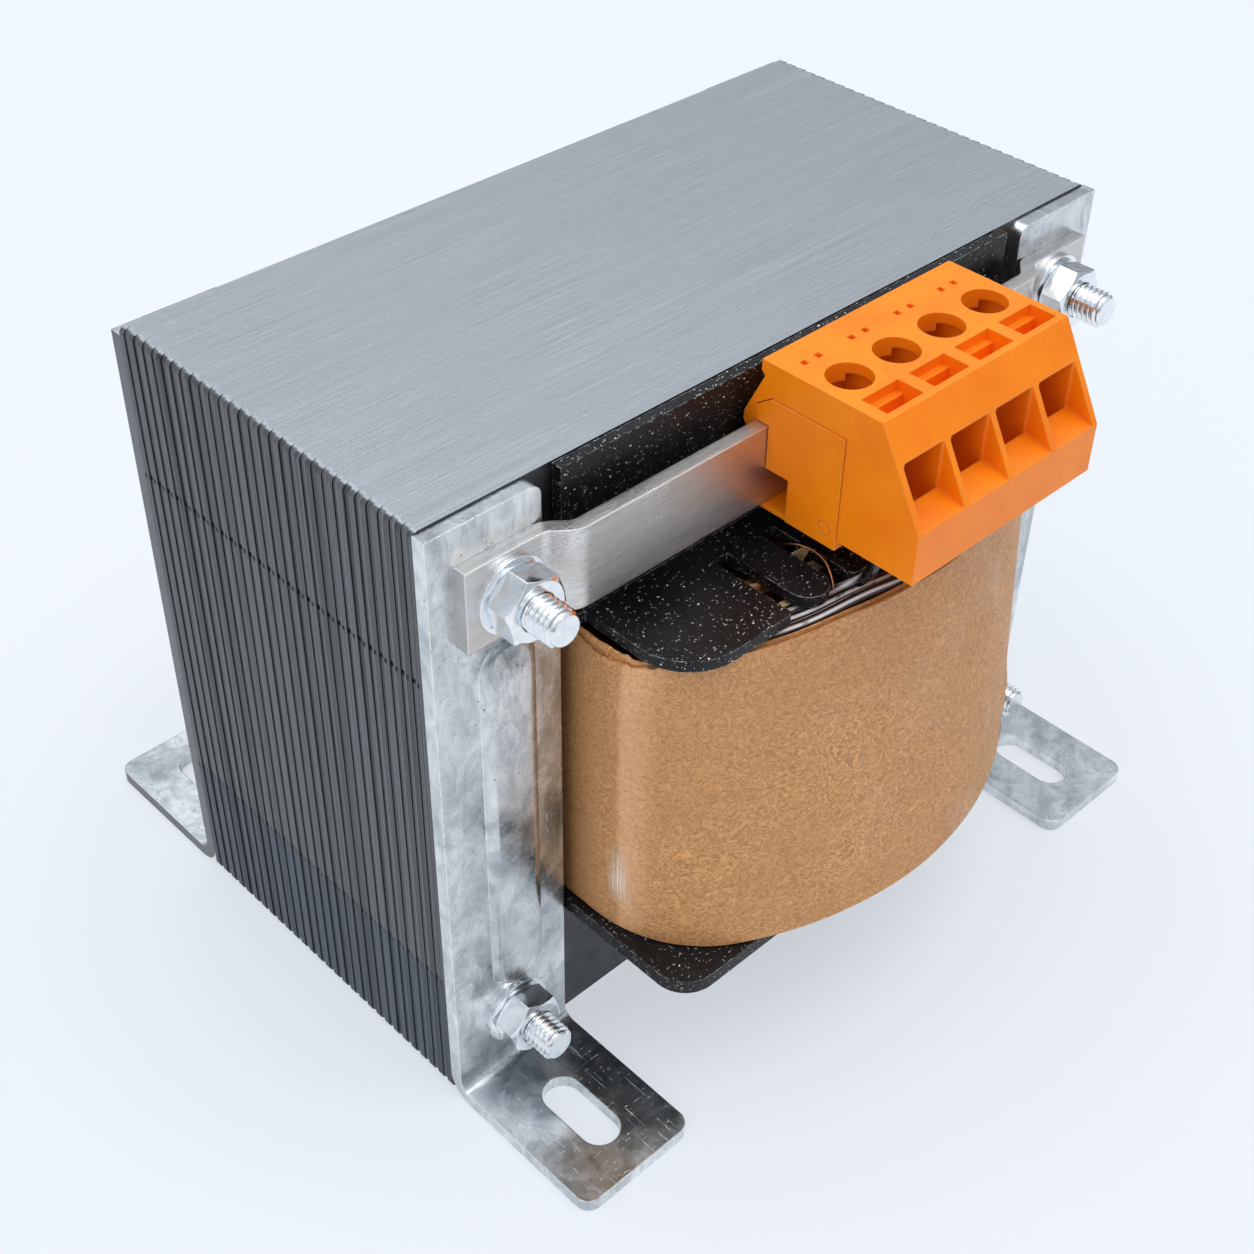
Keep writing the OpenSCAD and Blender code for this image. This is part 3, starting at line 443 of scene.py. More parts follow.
def strap_finish():
    """Rolled steel strip, brushed along its length."""
    f = Finish("strap_steel", (0.62, 0.615, 0.6), metallic=0.95, roughness=0.33)
    brushed = f.grain((0.09, 2.4, 5.0), detail=4, roughness=0.65)
    cloud = f.grain((0.09, 0.2, 0.25), detail=3)
    crinkle = f.grain((1.6, 1.6, 2.2), detail=4, roughness=0.65, distortion=2.0)
    scratch = f.grain((0.35, 3.0, 1.6), detail=2, roughness=0.7, shift=(2, 0, 4))
    scratch = f.spread(scratch, 0.69, 0.75)
    colour = f.blend(f.spread(brushed, 0.3, 0.7), (0.56, 0.55, 0.535), (0.8, 0.79, 0.775))
    colour = f.blend(f.spread(cloud, 0.35, 0.65, 0, 0.4), colour, (0.52, 0.47, 0.42))
    colour = f.blend(f.sum("MULTIPLY", scratch, 0.5), colour, (0.85, 0.85, 0.84))
    rough = f.spread(cloud, 0.35, 0.65, 0.26, 0.4)
    # painted highlight along the edges
    colour = f.blend(f.highlight_mask(0.3, 0.25), colour, (0.93, 0.93, 0.92))
    relief = f.sum("ADD", f.sum("ADD", brushed, scratch), f.sum("MULTIPLY", crinkle, 1.5))
    return f.surface(colour, rough, relief, depth=0.05, edge=0.3, strength=0.6)


def zinc_finish():
    """Bright zinc plate on turned and rolled parts."""
    f = Finish("bright_zinc", (0.82, 0.845, 0.87), metallic=1.0, roughness=0.16)
    cloud = f.grain((0.6, 0.6, 0.6), detail=4)
    turned = f.grain((2.0, 9.0, 2.0), detail=2)
    colour = f.blend(f.spread(cloud, 0.3, 0.7), (0.76, 0.8, 0.84), (0.93, 0.95, 0.97))
    # painted highlight along the edges
    colour = f.blend(f.highlight_mask(0.2, 0.2), colour, (0.98, 0.98, 0.98))
    rough = f.spread(cloud, 0.3, 0.7, 0.1, 0.24)
    return f.surface(colour, rough, f.sum("ADD", cloud, turned), depth=0.008, edge=0.2, strength=0.3)


# cycles per millimetre, size and turn of the dust and of the stray fibres
SPECKS = (
    ((1.2, 1.2, 1.2), 0.085, (0, 0, 0)),
    ((2.1, 2.1, 2.1), 0.085, (0.4, 0.2, 0)),
    ((0.6, 3.4, 1.4), 0.14, (0, 0, 0.6)),
    ((3.2, 0.7, 1.2), 0.14, (0.3, 0, 0.4)),
    ((0.9, 0.8, 3.0), 0.12, (0.5, 0.8, 0)),
)


def bobbin_finish(base):
    """Black glass-filled plastic with dust and short stray fibres."""
    f = Finish("bobbin_plastic", base, roughness=0.4, specular_ior_level=0.22)
    cloud = f.grain((0.12, 0.12, 0.12), detail=3)
    bent = f.grain((0.5, 0.5, 0.5), detail=1)
    sway = f.add("CombineXYZ", {0: f.sum("MULTIPLY", bent, 3.0), 1: bent, 2: bent}).outputs[0]
    bend = f.add("VectorMath", {0: f.mm, 1: sway}, operation="ADD").outputs[0]
    specks = None
    for scale, size, turn in SPECKS:
        place = f.add("Mapping", {"Vector": bend, "Rotation": turn, "Scale": scale})
        cell = f.add("TexVoronoi", {"Vector": place.outputs[0], "Scale": 1.0})
        dot = f.spread(cell.outputs["Distance"], size * 0.7, size, 1.0, 0.0)
        chance = f.spread(f.add("RGBToBW", {0: cell.outputs["Color"]}).outputs[0], 0.35, 0.6)
        dot = f.sum("MULTIPLY", dot, chance)
        specks = dot if specks is None else f.sum("MAXIMUM", specks, dot)
    film = f.spread(cloud, 0.4, 0.75, 0.0, 0.04)
    colour = f.blend(film, base, (0.25, 0.24, 0.24))
    colour = f.blend(f.sum("MULTIPLY", specks, 0.95), colour, (0.88, 0.88, 0.88))
    # painted highlight along the edges
    colour = f.blend(f.sum("MULTIPLY", f.highlight_mask(0.2, 0.42), 0.7), colour, (0.6, 0.6, 0.61))
    rough = f.sum("ADD", f.spread(cloud, 0.3, 0.7, 0.3, 0.45), f.sum("MULTIPLY", specks, 0.3))
    return f.surface(colour, rough, f.sum("ADD", specks, cloud), depth=0.03, edge=0.22, strength=0.4)


def kraft_finish(name, base, gloss):
    """Varnished kraft paper: fibres, darker clouds and shiny patches, with a painted highlight band,
    painted shade near the core and a painted glint at the left corner.
    """
    f = Finish(name, base, roughness=0.5, specular_ior_level=0.35)
    x, y, z = f.axes
    fibre = f.grain((0.6, 0.6, 0.75), detail=4, roughness=0.58, distortion=4.0)
    strand = f.grain((0.4, 0.4, 1.3), detail=5, roughness=0.62, distortion=3.0, shift=(4, 2, 9))
    cloud = f.grain((0.05, 0.05, 0.06), detail=4, roughness=0.5)
    light = tuple(min(c * 1.26 + 0.01, 1) for c in base)
    deep = tuple(c * t for c, t in zip(base, (0.66, 0.6, 0.55)))
    colour = f.blend(f.spread(fibre, 0.4, 0.6), deep, light)
    colour = f.blend(f.spread(strand, 0.38, 0.62, 0.0, 0.4), colour, scaled(base, 0.84))
    colour = f.blend(f.spread(cloud, 0.35, 0.65, 0.0, 0.35), colour, scaled(base, 0.76))
    fleck = f.spread(f.cells((1.1, 1.1, 0.6)), 0.07, 0.11, 0.6, 0.0)
    fleck = f.sum("MULTIPLY", fleck, f.spread(cloud, 0.42, 0.58))
    colour = f.blend(fleck, colour, scaled(base, 0.35))
    # painted highlight: a lighter band down the left corner stands for a reflection on the varnish
    drift = f.sum("MULTIPLY", f.grain((0.0, 0.0, 0.12), detail=3), 2.4)
    place = f.sum("SUBTRACT", f.sum("MULTIPLY", y, -1.0), f.sum("ADD", drift, FACE - 1.2))
    corner = f.spread(x, -33.0, -35.5)
    band = f.sum("MULTIPLY", f.spread(place, 9.2, 9.9), f.spread(place, 11.2, 14.5, 1.0, 0.0))
    band = f.sum("MULTIPLY", band, corner)
    highlight_mask = f.sum("MULTIPLY", band, f.spread(fibre, 0.2, 0.6, 0.3, 0.62))
    colour = f.blend(highlight_mask, colour, tuple(min(c * 1.3 + 0.09, 1) for c in base))
    # painted shade: the paper is darker next to the core at the left corner
    far = f.spread(place, -1.0, 6.5, 0.62, 0.0)
    colour = f.blend(f.sum("MULTIPLY", far, corner), colour, scaled(base, 0.36))
    streak = f.grain((0.0, 4.5, 0.03), detail=2, roughness=0.5, shift=(0, 3, 5))
    across = f.sum("MULTIPLY", f.spread(place, 7.6, 9.4), f.spread(place, 9.6, 11.6, 1.0, 0.0))
    upright = f.sum("MULTIPLY", f.spread(z, 29.0, 33.0), f.spread(z, 34.0, 41.0, 1.0, 0.0))
    spot = f.sum("MULTIPLY", f.sum("MULTIPLY", across, upright), corner)
    glint = f.sum("MULTIPLY", spot, f.spread(streak, 0.38, 0.6, 0.12, 0.85))
    colour = f.blend(glint, colour, (0.97, 0.93, 0.88))
    patch = f.grain((0.1, 0.1, 0.05), detail=4, roughness=0.6, shift=(1, 5, 3))
    shine = f.sum("MAXIMUM", f.spread(patch, 0.5, 0.66), band)
    rough = f.spread(shine, 0, 1, 0.52, 0.52 - gloss)
    relief = f.sum("ADD", f.sum("MULTIPLY", fibre, 0.9), f.sum("MULTIPLY", strand, 0.6))
    return f.surface(colour, rough, relief, depth=0.16, strength=0.7)


def orange_finish(base):
    """Satin orange plastic with a fine moulded skin."""
    f = Finish("orange_plastic", base, roughness=0.36, specular_ior_level=0.28)
    f.shader.inputs["Subsurface Weight"].default_value = 0.12
    f.shader.inputs["Subsurface Radius"].default_value = (1.0, 0.35, 0.1)
    f.shader.inputs["Subsurface Scale"].default_value = 0.0012
    cloud = f.grain((0.12, 0.12, 0.12), detail=3)
    skin = f.grain((3.0, 3.0, 3.0), detail=2)
    deep = (base[0] * 0.93, base[1] * 0.86, base[2])
    colour = f.blend(f.spread(cloud, 0.35, 0.65), deep, (base[0], base[1] * 1.06, base[2] * 1.3))
    pale = tuple(min(c * 1.1 + 0.05, 1) for c in base)
    # painted highlight along the edges
    colour = f.blend(f.sum("MULTIPLY", f.highlight_mask(0.3, 0.1), 0.7), colour, pale)
    rough = f.spread(skin, 0.3, 0.7, 0.3, 0.42)
    return f.surface(colour, rough, f.sum("ADD", skin, cloud), depth=0.012, edge=0.22, strength=0.4)


def plain_metal(name, base, roughness, edge):
    """Small plated part with slight stains and tool marks."""
    f = Finish(name, base, metallic=1.0, roughness=roughness)
    stain = f.grain((0.7, 0.7, 0.7), detail=4)
    marks = f.grain((6.0, 1.2, 6.0), detail=2)
    colour = f.blend(f.spread(stain, 0.3, 0.7), scaled(base, 0.75), base)
    rough = f.spread(stain, 0.3, 0.7, roughness * 0.8, roughness * 1.3)
    return f.surface(colour, rough, marks, depth=0.02, edge=edge, strength=0.4)


WIRE_PITCH = 0.7


def winding_finish():
    """Layers of enamelled wire under amber varnish."""
    f = Finish("wound_wire", (0.45, 0.17, 0.06), metallic=0.85, roughness=0.35)
    turn = f.sum("ABSOLUTE", f.sum("SINE", f.sum("MULTIPLY", f.axes[2], math.pi / WIRE_PITCH)))
    stain = f.grain((0.25, 0.25, 0.6), detail=4)
    colour = f.blend(turn, (0.08, 0.03, 0.015), (0.5, 0.2, 0.075))
    colour = f.blend(f.spread(stain, 0.35, 0.65, 0, 0.6), colour, (0.12, 0.06, 0.03))
    return f.surface(colour, f.spread(stain, 0.3, 0.7, 0.28, 0.5), turn, depth=0.12, strength=0.7)


def sleeve_finish():
    """Glossy black sleeving with a painted pale highlight along its top, stronger at the left."""
    f = Finish("lead_sleeve", (0.008, 0.008, 0.009), roughness=0.1, specular_ior_level=0.8)
    dent = f.grain((0.5, 0.9, 0.9), detail=3)
    up = f.facing[2]
    # painted highlight: a pale stripe where the sleeve faces up
    stripe = f.sum("MULTIPLY", f.spread(up, 0.5, 0.72), f.spread(up, 0.84, 0.97, 1.0, 0.0))
    left = f.spread(f.axes[0], -6.0, 4.0, 1.0, 0.25)
    sheen = f.sum("MULTIPLY", f.sum("MULTIPLY", stripe, left), f.spread(dent, 0.28, 0.42))
    colour = f.blend(f.spread(dent, 0.4, 0.7), (0.006, 0.006, 0.007), (0.02, 0.02, 0.021))
    colour = f.blend(f.sum("MULTIPLY", sheen, 0.85), colour, (0.85, 0.85, 0.87))
    return f.surface(colour, f.spread(dent, 0.3, 0.7, 0.06, 0.16), dent, depth=0.12, strength=0.5)


def floor_finish(colour):
    """Smooth pale studio surface."""
    f = Finish("studio_floor", colour, roughness=0.85, specular_ior_level=0.1)
    drift = f.grain((0.004, 0.004, 0.004), detail=2)
    shade = f.blend(f.spread(drift, 0.3, 0.7), colour, scaled(colour, 0.985))
    path = f.add("LightPath").outputs
    seen = f.sum("MAXIMUM", path["Is Camera Ray"], path["Is Glossy Ray"])
    shade = f.blend(f.sum("MULTIPLY", seen, PALE_SHARE), shade, (0.0, 0.0, 0.0))
    f.shader.inputs["Emission Color"].default_value = PALE_FLOOR
    f.put(f.shader.inputs["Emission Strength"], f.sum("MULTIPLY", seen, PALE_SHARE))
    return f.surface(shade)


def dress(material, *names):
    """Gives CAD nodes a finish."""
    for name in names:
        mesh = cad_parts[name].data
        mesh.materials.clear()
        mesh.materials.append(material)


# --------------------------------------------------------------------- shaping


def clear_selection():
    """Leaves object mode with nothing selected."""
    if bpy.context.object and bpy.context.object.mode != "OBJECT":
        bpy.ops.object.mode_set(mode="OBJECT")
    bpy.ops.object.select_all(action="DESELECT")


def settle(piece, name, material, smooth_angle=35):
    """Applies a piece's place, names it, finishes it and lets it ride."""
    clear_selection()
    piece.select_set(True)
    bpy.context.view_layer.objects.active = piece
    if piece.type == "CURVE":
        bpy.ops.object.convert(target="MESH")
        piece = bpy.context.object
    bpy.ops.object.transform_apply(location=True, rotation=True, scale=True)
    bpy.ops.object.mode_set(mode="EDIT")
    bpy.ops.mesh.select_all(action="SELECT")
    bpy.ops.mesh.remove_doubles(threshold=1e-6)
    bpy.ops.mesh.normals_make_consistent(inside=False)
    bpy.ops.object.mode_set(mode="OBJECT")
    bpy.ops.object.shade_smooth_by_angle(angle=math.radians(smooth_angle))
    piece.name = name
    piece.data.materials.clear()
    piece.data.materials.append(material)
    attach(piece, "root")
    return piece


def apply_modifier(piece, kind, **settings):
    """Adds one modifier and applies it."""
    clear_selection()
    piece.select_set(True)
    bpy.context.view_layer.objects.active = piece
    made = piece.modifiers.new(kind.title(), kind)
    for key, value in settings.items():
        setattr(made, key, value)
    bpy.ops.object.modifier_apply(modifier=made.name)


def smooth_tube(name, points, diameter, material):
    """Round tube along points, as a closed mesh."""
    clear_selection()
    data = bpy.data.curves.new(name, "CURVE")
    data.dimensions = "3D"
    data.bevel_depth = diameter / 2
    data.bevel_resolution = 4
    data.use_fill_caps = True
    data.resolution_u = 4
    line = data.splines.new("NURBS")
    line.points.add(len(points) - 1)
    for spot, place in zip(line.points, points):
        spot.co = (*place, 1)
    line.order_u = 4
    line.use_endpoint_u = True
    piece = bpy.data.objects.new(name, data)
    bpy.context.collection.objects.link(piece)
    return settle(piece, name, material, 60)


# ----------------------------------------------------------------------- wraps

# coil's form in millimetres: reach out of the core, shift of the middle, radii of both halves,
# radii of both corners
COIL_BOTTOM = (30.4, 0.0, (59.0, 53.0), (20.0, 14.0))
COIL_TOP = (24.3, 4.0, (85.0, 52.0), (9.0, 14.0))
COIL_HALF = 38.6
# thicknesses of the two wraps in the frame, in millimetres
PAPER = 0.8
INNER_PAPER = 0.5


def section_point(section, turn, inset):
    """Point of a coil section in millimetres where its face looks along turn."""
    reach, lean, arcs, corners = section
    right = 1 if turn > 0 else 0
    arc, corner = arcs[right] - inset, corners[right] - inset
    across = (2 * right - 1) * (COIL_HALF - inset - corner) - lean
    back = math.sqrt((arc - corner) ** 2 - across**2)
    low = -(FACE + reach - inset) + arc
    if abs(turn) <= math.atan2(abs(across), back):
        return lean + arc * math.sin(turn), low - arc * math.cos(turn)
    return lean + across + corner * math.sin(turn), low - back - corner * math.cos(turn)


def coil_point(place, level, inset):
    """Point and outward direction of the coil's form in millimetres.

    place runs 0-1 over the front, 1-2 down the right side, 2-3 over the back and 3-4 up the left.
    """
    leg, part = int(place) % 4, place - int(place)
    turn = {0: part - 0.5, 1: 0.5, 2: 0.5 - part, 3: -0.5}[leg] * math.pi
    low, high = section_point(COIL_BOTTOM, turn, inset), section_point(COIL_TOP, turn, inset)
    x, y = (a + (b - a) * level for a, b in zip(low, high))
    if leg == 2:
        return Vector((x, -y)), Vector((math.sin(turn), math.cos(turn)))
    if leg == 1:
        return Vector((x, y - 2 * y * part)), Vector((1, 0))
    if leg == 3:
        return Vector((x, 2 * y * part - y)), Vector((-1, 0))
    return Vector((x, y)), Vector((math.sin(turn), -math.cos(turn)))


COLUMNS = (240, 40, 120, 100)


def column_place(step):
    """Place on the coil of one column of the sheet, with more columns where it shows."""
    for leg, count in enumerate(COLUMNS):
        if step < count:
            return leg + step / count
        step -= count
    return 0.0


def ripple(place, parts):
    """Sum of waves round the coil, each with its count, size and phase."""
    return sum(size * math.sin(count * place * math.pi + phase) for count, size, phase in parts)


# count, size and phase of the sheet's dents and of the waves in its top edge
DENTS = ((7, 0.5, 1.0), (19, 0.3, 0.4))
EDGE_WAVES = ((9, 0.5, 0.2), (23, 0.35, 1.1), (41, 0.2, 2.0))
DENT = 0.09


def top_share(level):
    """0 up to the sheet's last tenth, and 1 at its top edge."""
    return max(0.0, (level - 0.9) / 0.1)


def bump(value, at, width):
    """Smooth bump of height 1."""
    return math.exp(-(((value - at) / width) ** 2))


def wrap_sheet(inset, thickness, wave, rows, shape):
    """Sheet of paper round the coil, closed on itself, with an uneven top edge."""
    clear_selection()
    around = sum(COLUMNS)
    bpy.ops.mesh.primitive_grid_add(x_subdivisions=around, y_subdivisions=rows, size=1)
    piece = bpy.context.object
    for spot in piece.data.vertices:
        place = column_place(round((spot.co.x + 0.5) * around) % around)
        level = min(1.0, max(0.0, spot.co.y + 0.5))
        flat, outward = coil_point(place, level, inset)
        reach = -FACE - flat.y
        give, lift = shape(flat.x, reach, level)
        give += DENT * (1 + ripple(place, DENTS) * math.sin(level * 5 + place * 3))
        edge = top_share(level)
        wavy = ripple(place, EDGE_WAVES) - 1.0
        flat -= outward * give
        z = WRAP_BOTTOM + (WRAP_TOP - WRAP_BOTTOM) * level + edge * (wave * 1000 * wavy + lift)
        spot.co = (flat.x * MM, flat.y * MM, z * MM)
    bpy.ops.object.mode_set(mode="EDIT")
    bpy.ops.mesh.select_all(action="SELECT")
    bpy.ops.mesh.remove_doubles(threshold=2e-5)
    bpy.ops.mesh.normals_make_consistent(inside=False)
    bpy.ops.object.mode_set(mode="OBJECT")
    face = piece.data.polygons[0]
    offset = -1.0 if face.normal.dot(Vector((*face.center[:2], 0))) > 0 else 1.0
    apply_modifier(piece, "SOLIDIFY", thickness=thickness * MM, offset=offset, use_even_offset=True)
    return piece


# place across, height share, width, height share and size of the blisters at the right
BLISTERS = ((27.5, 0.24, 1.5, 0.05, 0.5), (30.5, 0.12, 1.2, 0.04, 0.4))


def outer_shape(x, reach, level):
    """Inward give and top lift of the outer sheet: a blister, a pinch and a dip at the left."""
    give = 0.0
    if reach > 0 and x > 0:
        for at, up, wide, tall, size in BLISTERS:
            give -= size * bump(x, at, wide) * bump(level, up, tall)
    left = bump(x, -39.0, 3.5) * (reach > -3)
    give += 0.3 * left * bump(reach, 12.0, 2.5) * max(0.0, level - 0.6)
    return give, -1.0 * left * bump(reach, 7.0, 5.0)


def second_shape(x, reach, level):
    """Second layer of the wrap, just inside the first."""
    left = bump(x, -39.0, 3.5) * (reach > -3)
    return 0.0, -0.45 - 0.6 * left * bump(reach, 9.0, 4.0)


def inner_shape(x, reach, level):
    """Inner sheet: its top curls outwards at the left corner."""
    left = bump(x, -38.0, 3.5) * (reach > -3)
    curl = left * bump(reach, 5.0, 4.5) * top_share(level)
    return -0.42 * curl, 0.55 * left * bump(reach, 4.5, 4.5)


class TRANSFORMER_OT_wraps(bpy.types.Operator):
    """Make the two kraft wraps and finish the layers inside them"""

    bl_idname = "transformer.wraps"
    bl_label = "Kraft Wraps"

    def execute(self, context):
        s = context.scene.transformer_wrap
        kraft = kraft_finish("kraft_wrap", tuple(s.paper_colour), 0.27)
        under = kraft_finish("kraft_under", scaled(s.paper_colour, 1.1), 0.15)
        layers = (
            ("outer_wrap_paper", 0.0, 0.32, outer_shape, kraft, "outer_wrap"),
            ("outer_wrap_under", 0.45, 0.3, second_shape, under, "outer_wrap"),
            ("inner_wrap_paper", 0.92, 0.28, inner_shape, under, "inner_wrap"),
        )
        for name, inset, thickness, shape, finish, node in layers:
            sheet = wrap_sheet(inset, thickness, s.wave, s.rows, shape)
            sheet = settle(sheet, name, finish, 50)
            if not name.endswith("under"):
                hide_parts(node)
        dress(winding_finish(), "primary_winding", "secondary_winding")
        dress(kraft_finish("layer_paper", (0.5, 0.33, 0.17), 0.1), "interlayer_insulation")
        return {"FINISHED"}


# ----------------------------------------------------------------------- leads


def ring_point(step, x):
    """Point of the ring that a lead follows inside the wrap, in millimetres."""
    reach, lean, arcs, corners = COIL_TOP
    arc = arcs[1] if x >= lean else arcs[0]
    inset = PAPER + INNER_PAPER + 0.1 + 0.75 + step * 1.6
    y = -(FACE + reach) + arc - math.sqrt((arc - inset) ** 2 - (x - lean) ** 2)
    return Vector((x, y, LEAD_AXIS))


def lead_route(pole):
    """Points of one lead in metres, from beside the coil up to its solder tail."""
    low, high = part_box(f"contact_bar_{pole}")
    x1 = (low[0] + high[0]) * 500
    step = 0 if pole == 4 else 3 - pole
    start = 29.0 if pole == 4 else -29.0
    side = 1 if x1 > start else -1
    turn_x = x1 - side * 5
    points = [ring_point(step, start + (turn_x - start) * i / 10) for i in range(11)]
    a, b = points[-1], Vector((x1, low[1] * 1000 - 0.45, low[2] * 1000 - 0.6))
    da, db = Vector((side * 4.0, 0, 0)), Vector((0, 0, 4.5))
    for i in range(1, 9):
        t, u = i / 8, 1 - i / 8
        points.append(a * u**3 + (a + da) * 3 * u * u * t + (b - db) * 3 * u * t * t + b * t**3)
    for i, p in enumerate(points[1:12], 1):
        p.z += 0.12 * math.sin(i * 1.3 + pole * 2)
        if step < 2 and p.z < LEAD_AXIS + 0.75:
            p.z += (0.85 - 0.3 * step) * bump(p.x, -9.0, 6.0)
    return [p * MM for p in points], b * MM


class TRANSFORMER_OT_leads(bpy.types.Operator):
    """Make the sleeved leads and their bare ends"""

    bl_idname = "transformer.leads"
    bl_label = "Leads"

    def execute(self, context):
        s = context.scene.transformer_lead
        sleeve = sleeve_finish()
        tinned = plain_metal("tinned_wire", (0.7, 0.66, 0.6), 0.3, 0.0)
        for pole in POLES:
            points, end = lead_route(pole)
            piece = smooth_tube(f"lead_sleeve_{pole}", points, s.sleeve, sleeve)
            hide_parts(f"lead_{pole}")
            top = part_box(f"lead_{pole}")[1][2]
            foot = end.z - MM
            rise = [Vector((end.x, end.y, foot + (top - foot) * i / 3)) for i in range(4)]
            smooth_tube(f"lead_end_{pole}", rise, s.bare, tinned)
        return {"FINISHED"}


# ---------------------------------------------------------------- loose trim


STRIP_THICKNESS = 0.2


def bent_strip(name, start, end, width, sag, material, slot):
    """Short bent strip between two points in millimetres."""
    clear_selection()
    bpy.ops.mesh.primitive_grid_add(x_subdivisions=4, y_subdivisions=12, size=1)
    piece = bpy.context.object
    a, b = Vector(start), Vector(end)
    along = (b - a).normalized()
    across = along.cross(Vector((0, 0, 1))).normalized()
    for spot in piece.data.vertices:
        t = spot.co.y + 0.5
        bow = sag * math.sin(t * math.pi)
        spot.co = (a + (b - a) * t + across * spot.co.x * width + Vector((0, 0, bow))) * MM
    apply_modifier(piece, "SOLIDIFY", thickness=STRIP_THICKNESS * MM, offset=0)
    return settle(piece, name, material, 50)


class TRANSFORMER_OT_trim(bpy.types.Operator):
    """Make the wire loop, the paper ends and the fibre tuft in the flange's slots"""

    bl_idname = "transformer.trim"
    bl_label = "Wire Loop and Paper Ends"

    def execute(self, context):
        y = -FACE
        z = WRAP_TOP
        top = z + 1.6
        copper = plain_metal("bare_copper", (0.78, 0.36, 0.17), 0.22, 0.0)
        foil = plain_metal("copper_foil", (0.9, 0.36, 0.12), 0.4, 0.0)
        tan = kraft_finish("tan_paper", (0.62, 0.42, 0.22), 0.1)
        loop = (
            (-10.0, y - 6.6, top - 4.0),
            (-9.9, y - 7.6, top - 0.6),
            (-9.2, y - 9.8, top + 0.7),
            (-8.6, y - 12.2, top + 1.0),
            (-8.5, y - 14.6, top + 0.8),
            (-9.2, y - 16.6, top + 0.1),
            (-9.9, y - 17.8, top - 1.2),
            (-10.0, y - 18.3, top - 3.4),
        )
        smooth_tube("wire_loop", [Vector(p) * MM for p in loop], 0.34 * MM, copper)
        for i in range(7):
            lean = (i - 3) * 0.16
            tip = 2.9 - 0.1 * abs(i - 3)
            points = [
                Vector((-9.2 + lean * t, y - 10.6 - 0.3 * t - 0.1 * i, top - 3.0 + 1.35 * t)) * MM
                for t in (0.0, 0.8, 1.6, 2.3, tip)
            ]
            smooth_tube(f"tuft_{i}", points, 0.28 * MM, tan)
        paper, metal, wire = (tan, "insulation"), (foil, "copper"), (copper, "copper")
        strips = (
            ("paper_end_1", (-10.3, y - 17.3, z - 1.5), (-9.7, y - 19.4, z + 0.2), 1.0, 0.3, *paper),
            ("paper_end_2", (-19.6, y - 15.6, z - 0.6), (-15.2, y - 16.0, z - 0.3), 1.7, 0.1, *paper),
            ("copper_strip", (-19.6, y - 10.2, z - 0.5), (-15.2, y - 10.6, z - 0.3), 2.3, 0.1, *metal),
            ("copper_end", (-19.4, y - 7.4, z - 0.4), (-15.4, y - 7.0, z - 0.5), 1.2, 0.1, *wire),
        )
        for strip in strips:
            bent_strip(*strip)
        return {"FINISHED"}


# --------------------------------------------------------------------- threads


# millimetres: threaded length, chamfer at the tip, head's height and width, rod's end in the head
THREADED = 7.2
TIP_CHAMFER = 0.55
HEAD_HEIGHT = 3.5
HEAD_FLATS = 8
ROD_IN_HEAD = 2
HEAD_TURN = math.radians(15)


def threaded_rod(radius, depth, pitch, shank, length):
    """Rod along Y whose front end, at the origin, carries a helical thread."""
    clear_selection()
    around, rows = 32, 96
    bpy.ops.mesh.primitive_grid_add(x_subdivisions=around, y_subdivisions=rows, size=1)
    piece = bpy.context.object
    for spot in piece.data.vertices:
        turn = (spot.co.x + 0.5) * 2 * math.pi
        row = round((spot.co.y + 0.5) * rows)
        back = shank * row / (rows - 1) if row < rows else length
        phase = (back / pitch + turn / (2 * math.pi)) % 1.0
        cut = min(1.0, max(0.0, 1.5 * abs(2 * phase - 1) - 0.25))
        fade = min(1.0, max(0.0, (shank - back) / pitch))
        size = radius - depth * cut * fade
        size = min(size, radius - TIP_CHAMFER * MM + back * 0.9)
        spot.co = (size * math.cos(turn), back, size * math.sin(turn))
    bpy.ops.object.mode_set(mode="EDIT")
    bpy.ops.mesh.select_all(action="SELECT")
    bpy.ops.mesh.remove_doubles(threshold=1e-6)
    bpy.ops.mesh.select_all(action="DESELECT")
    bpy.ops.mesh.select_non_manifold()
    bpy.ops.mesh.edge_face_add()
    bpy.ops.mesh.select_all(action="DESELECT")
    bpy.ops.mesh.select_non_manifold()
    bpy.ops.mesh.fill_holes(sides=0)
    bpy.ops.object.mode_set(mode="OBJECT")
    return piece


def hex_head(y):
    """Bolt head with its edges broken, round the Y axis."""
    bpy.ops.mesh.primitive_cylinder_add(
        vertices=6,
        radius=HEAD_FLATS * MM / math.sqrt(3),
        depth=HEAD_HEIGHT * MM,
        location=(0, y, 0),
        rotation=(math.pi / 2, HEAD_TURN, 0),
    )
    piece = bpy.context.object
    apply_modifier(piece, "BEVEL", width=0.35 * MM, segments=2)
    return piece


def model_bolt(s, length):
    """Whole bolt along Y, with its threaded end at the origin."""
    rod = threaded_rod(s.radius, s.depth, s.pitch, THREADED * MM, length - ROD_IN_HEAD * MM)
    head = hex_head(length - HEAD_HEIGHT * MM / 2)
    clear_selection()
    for piece in (rod, head):
        piece.select_set(True)
    bpy.context.view_layer.objects.active = rod
    bpy.ops.object.transform_apply(location=True, rotation=True, scale=True)
    bpy.ops.object.join()
    return bpy.context.object


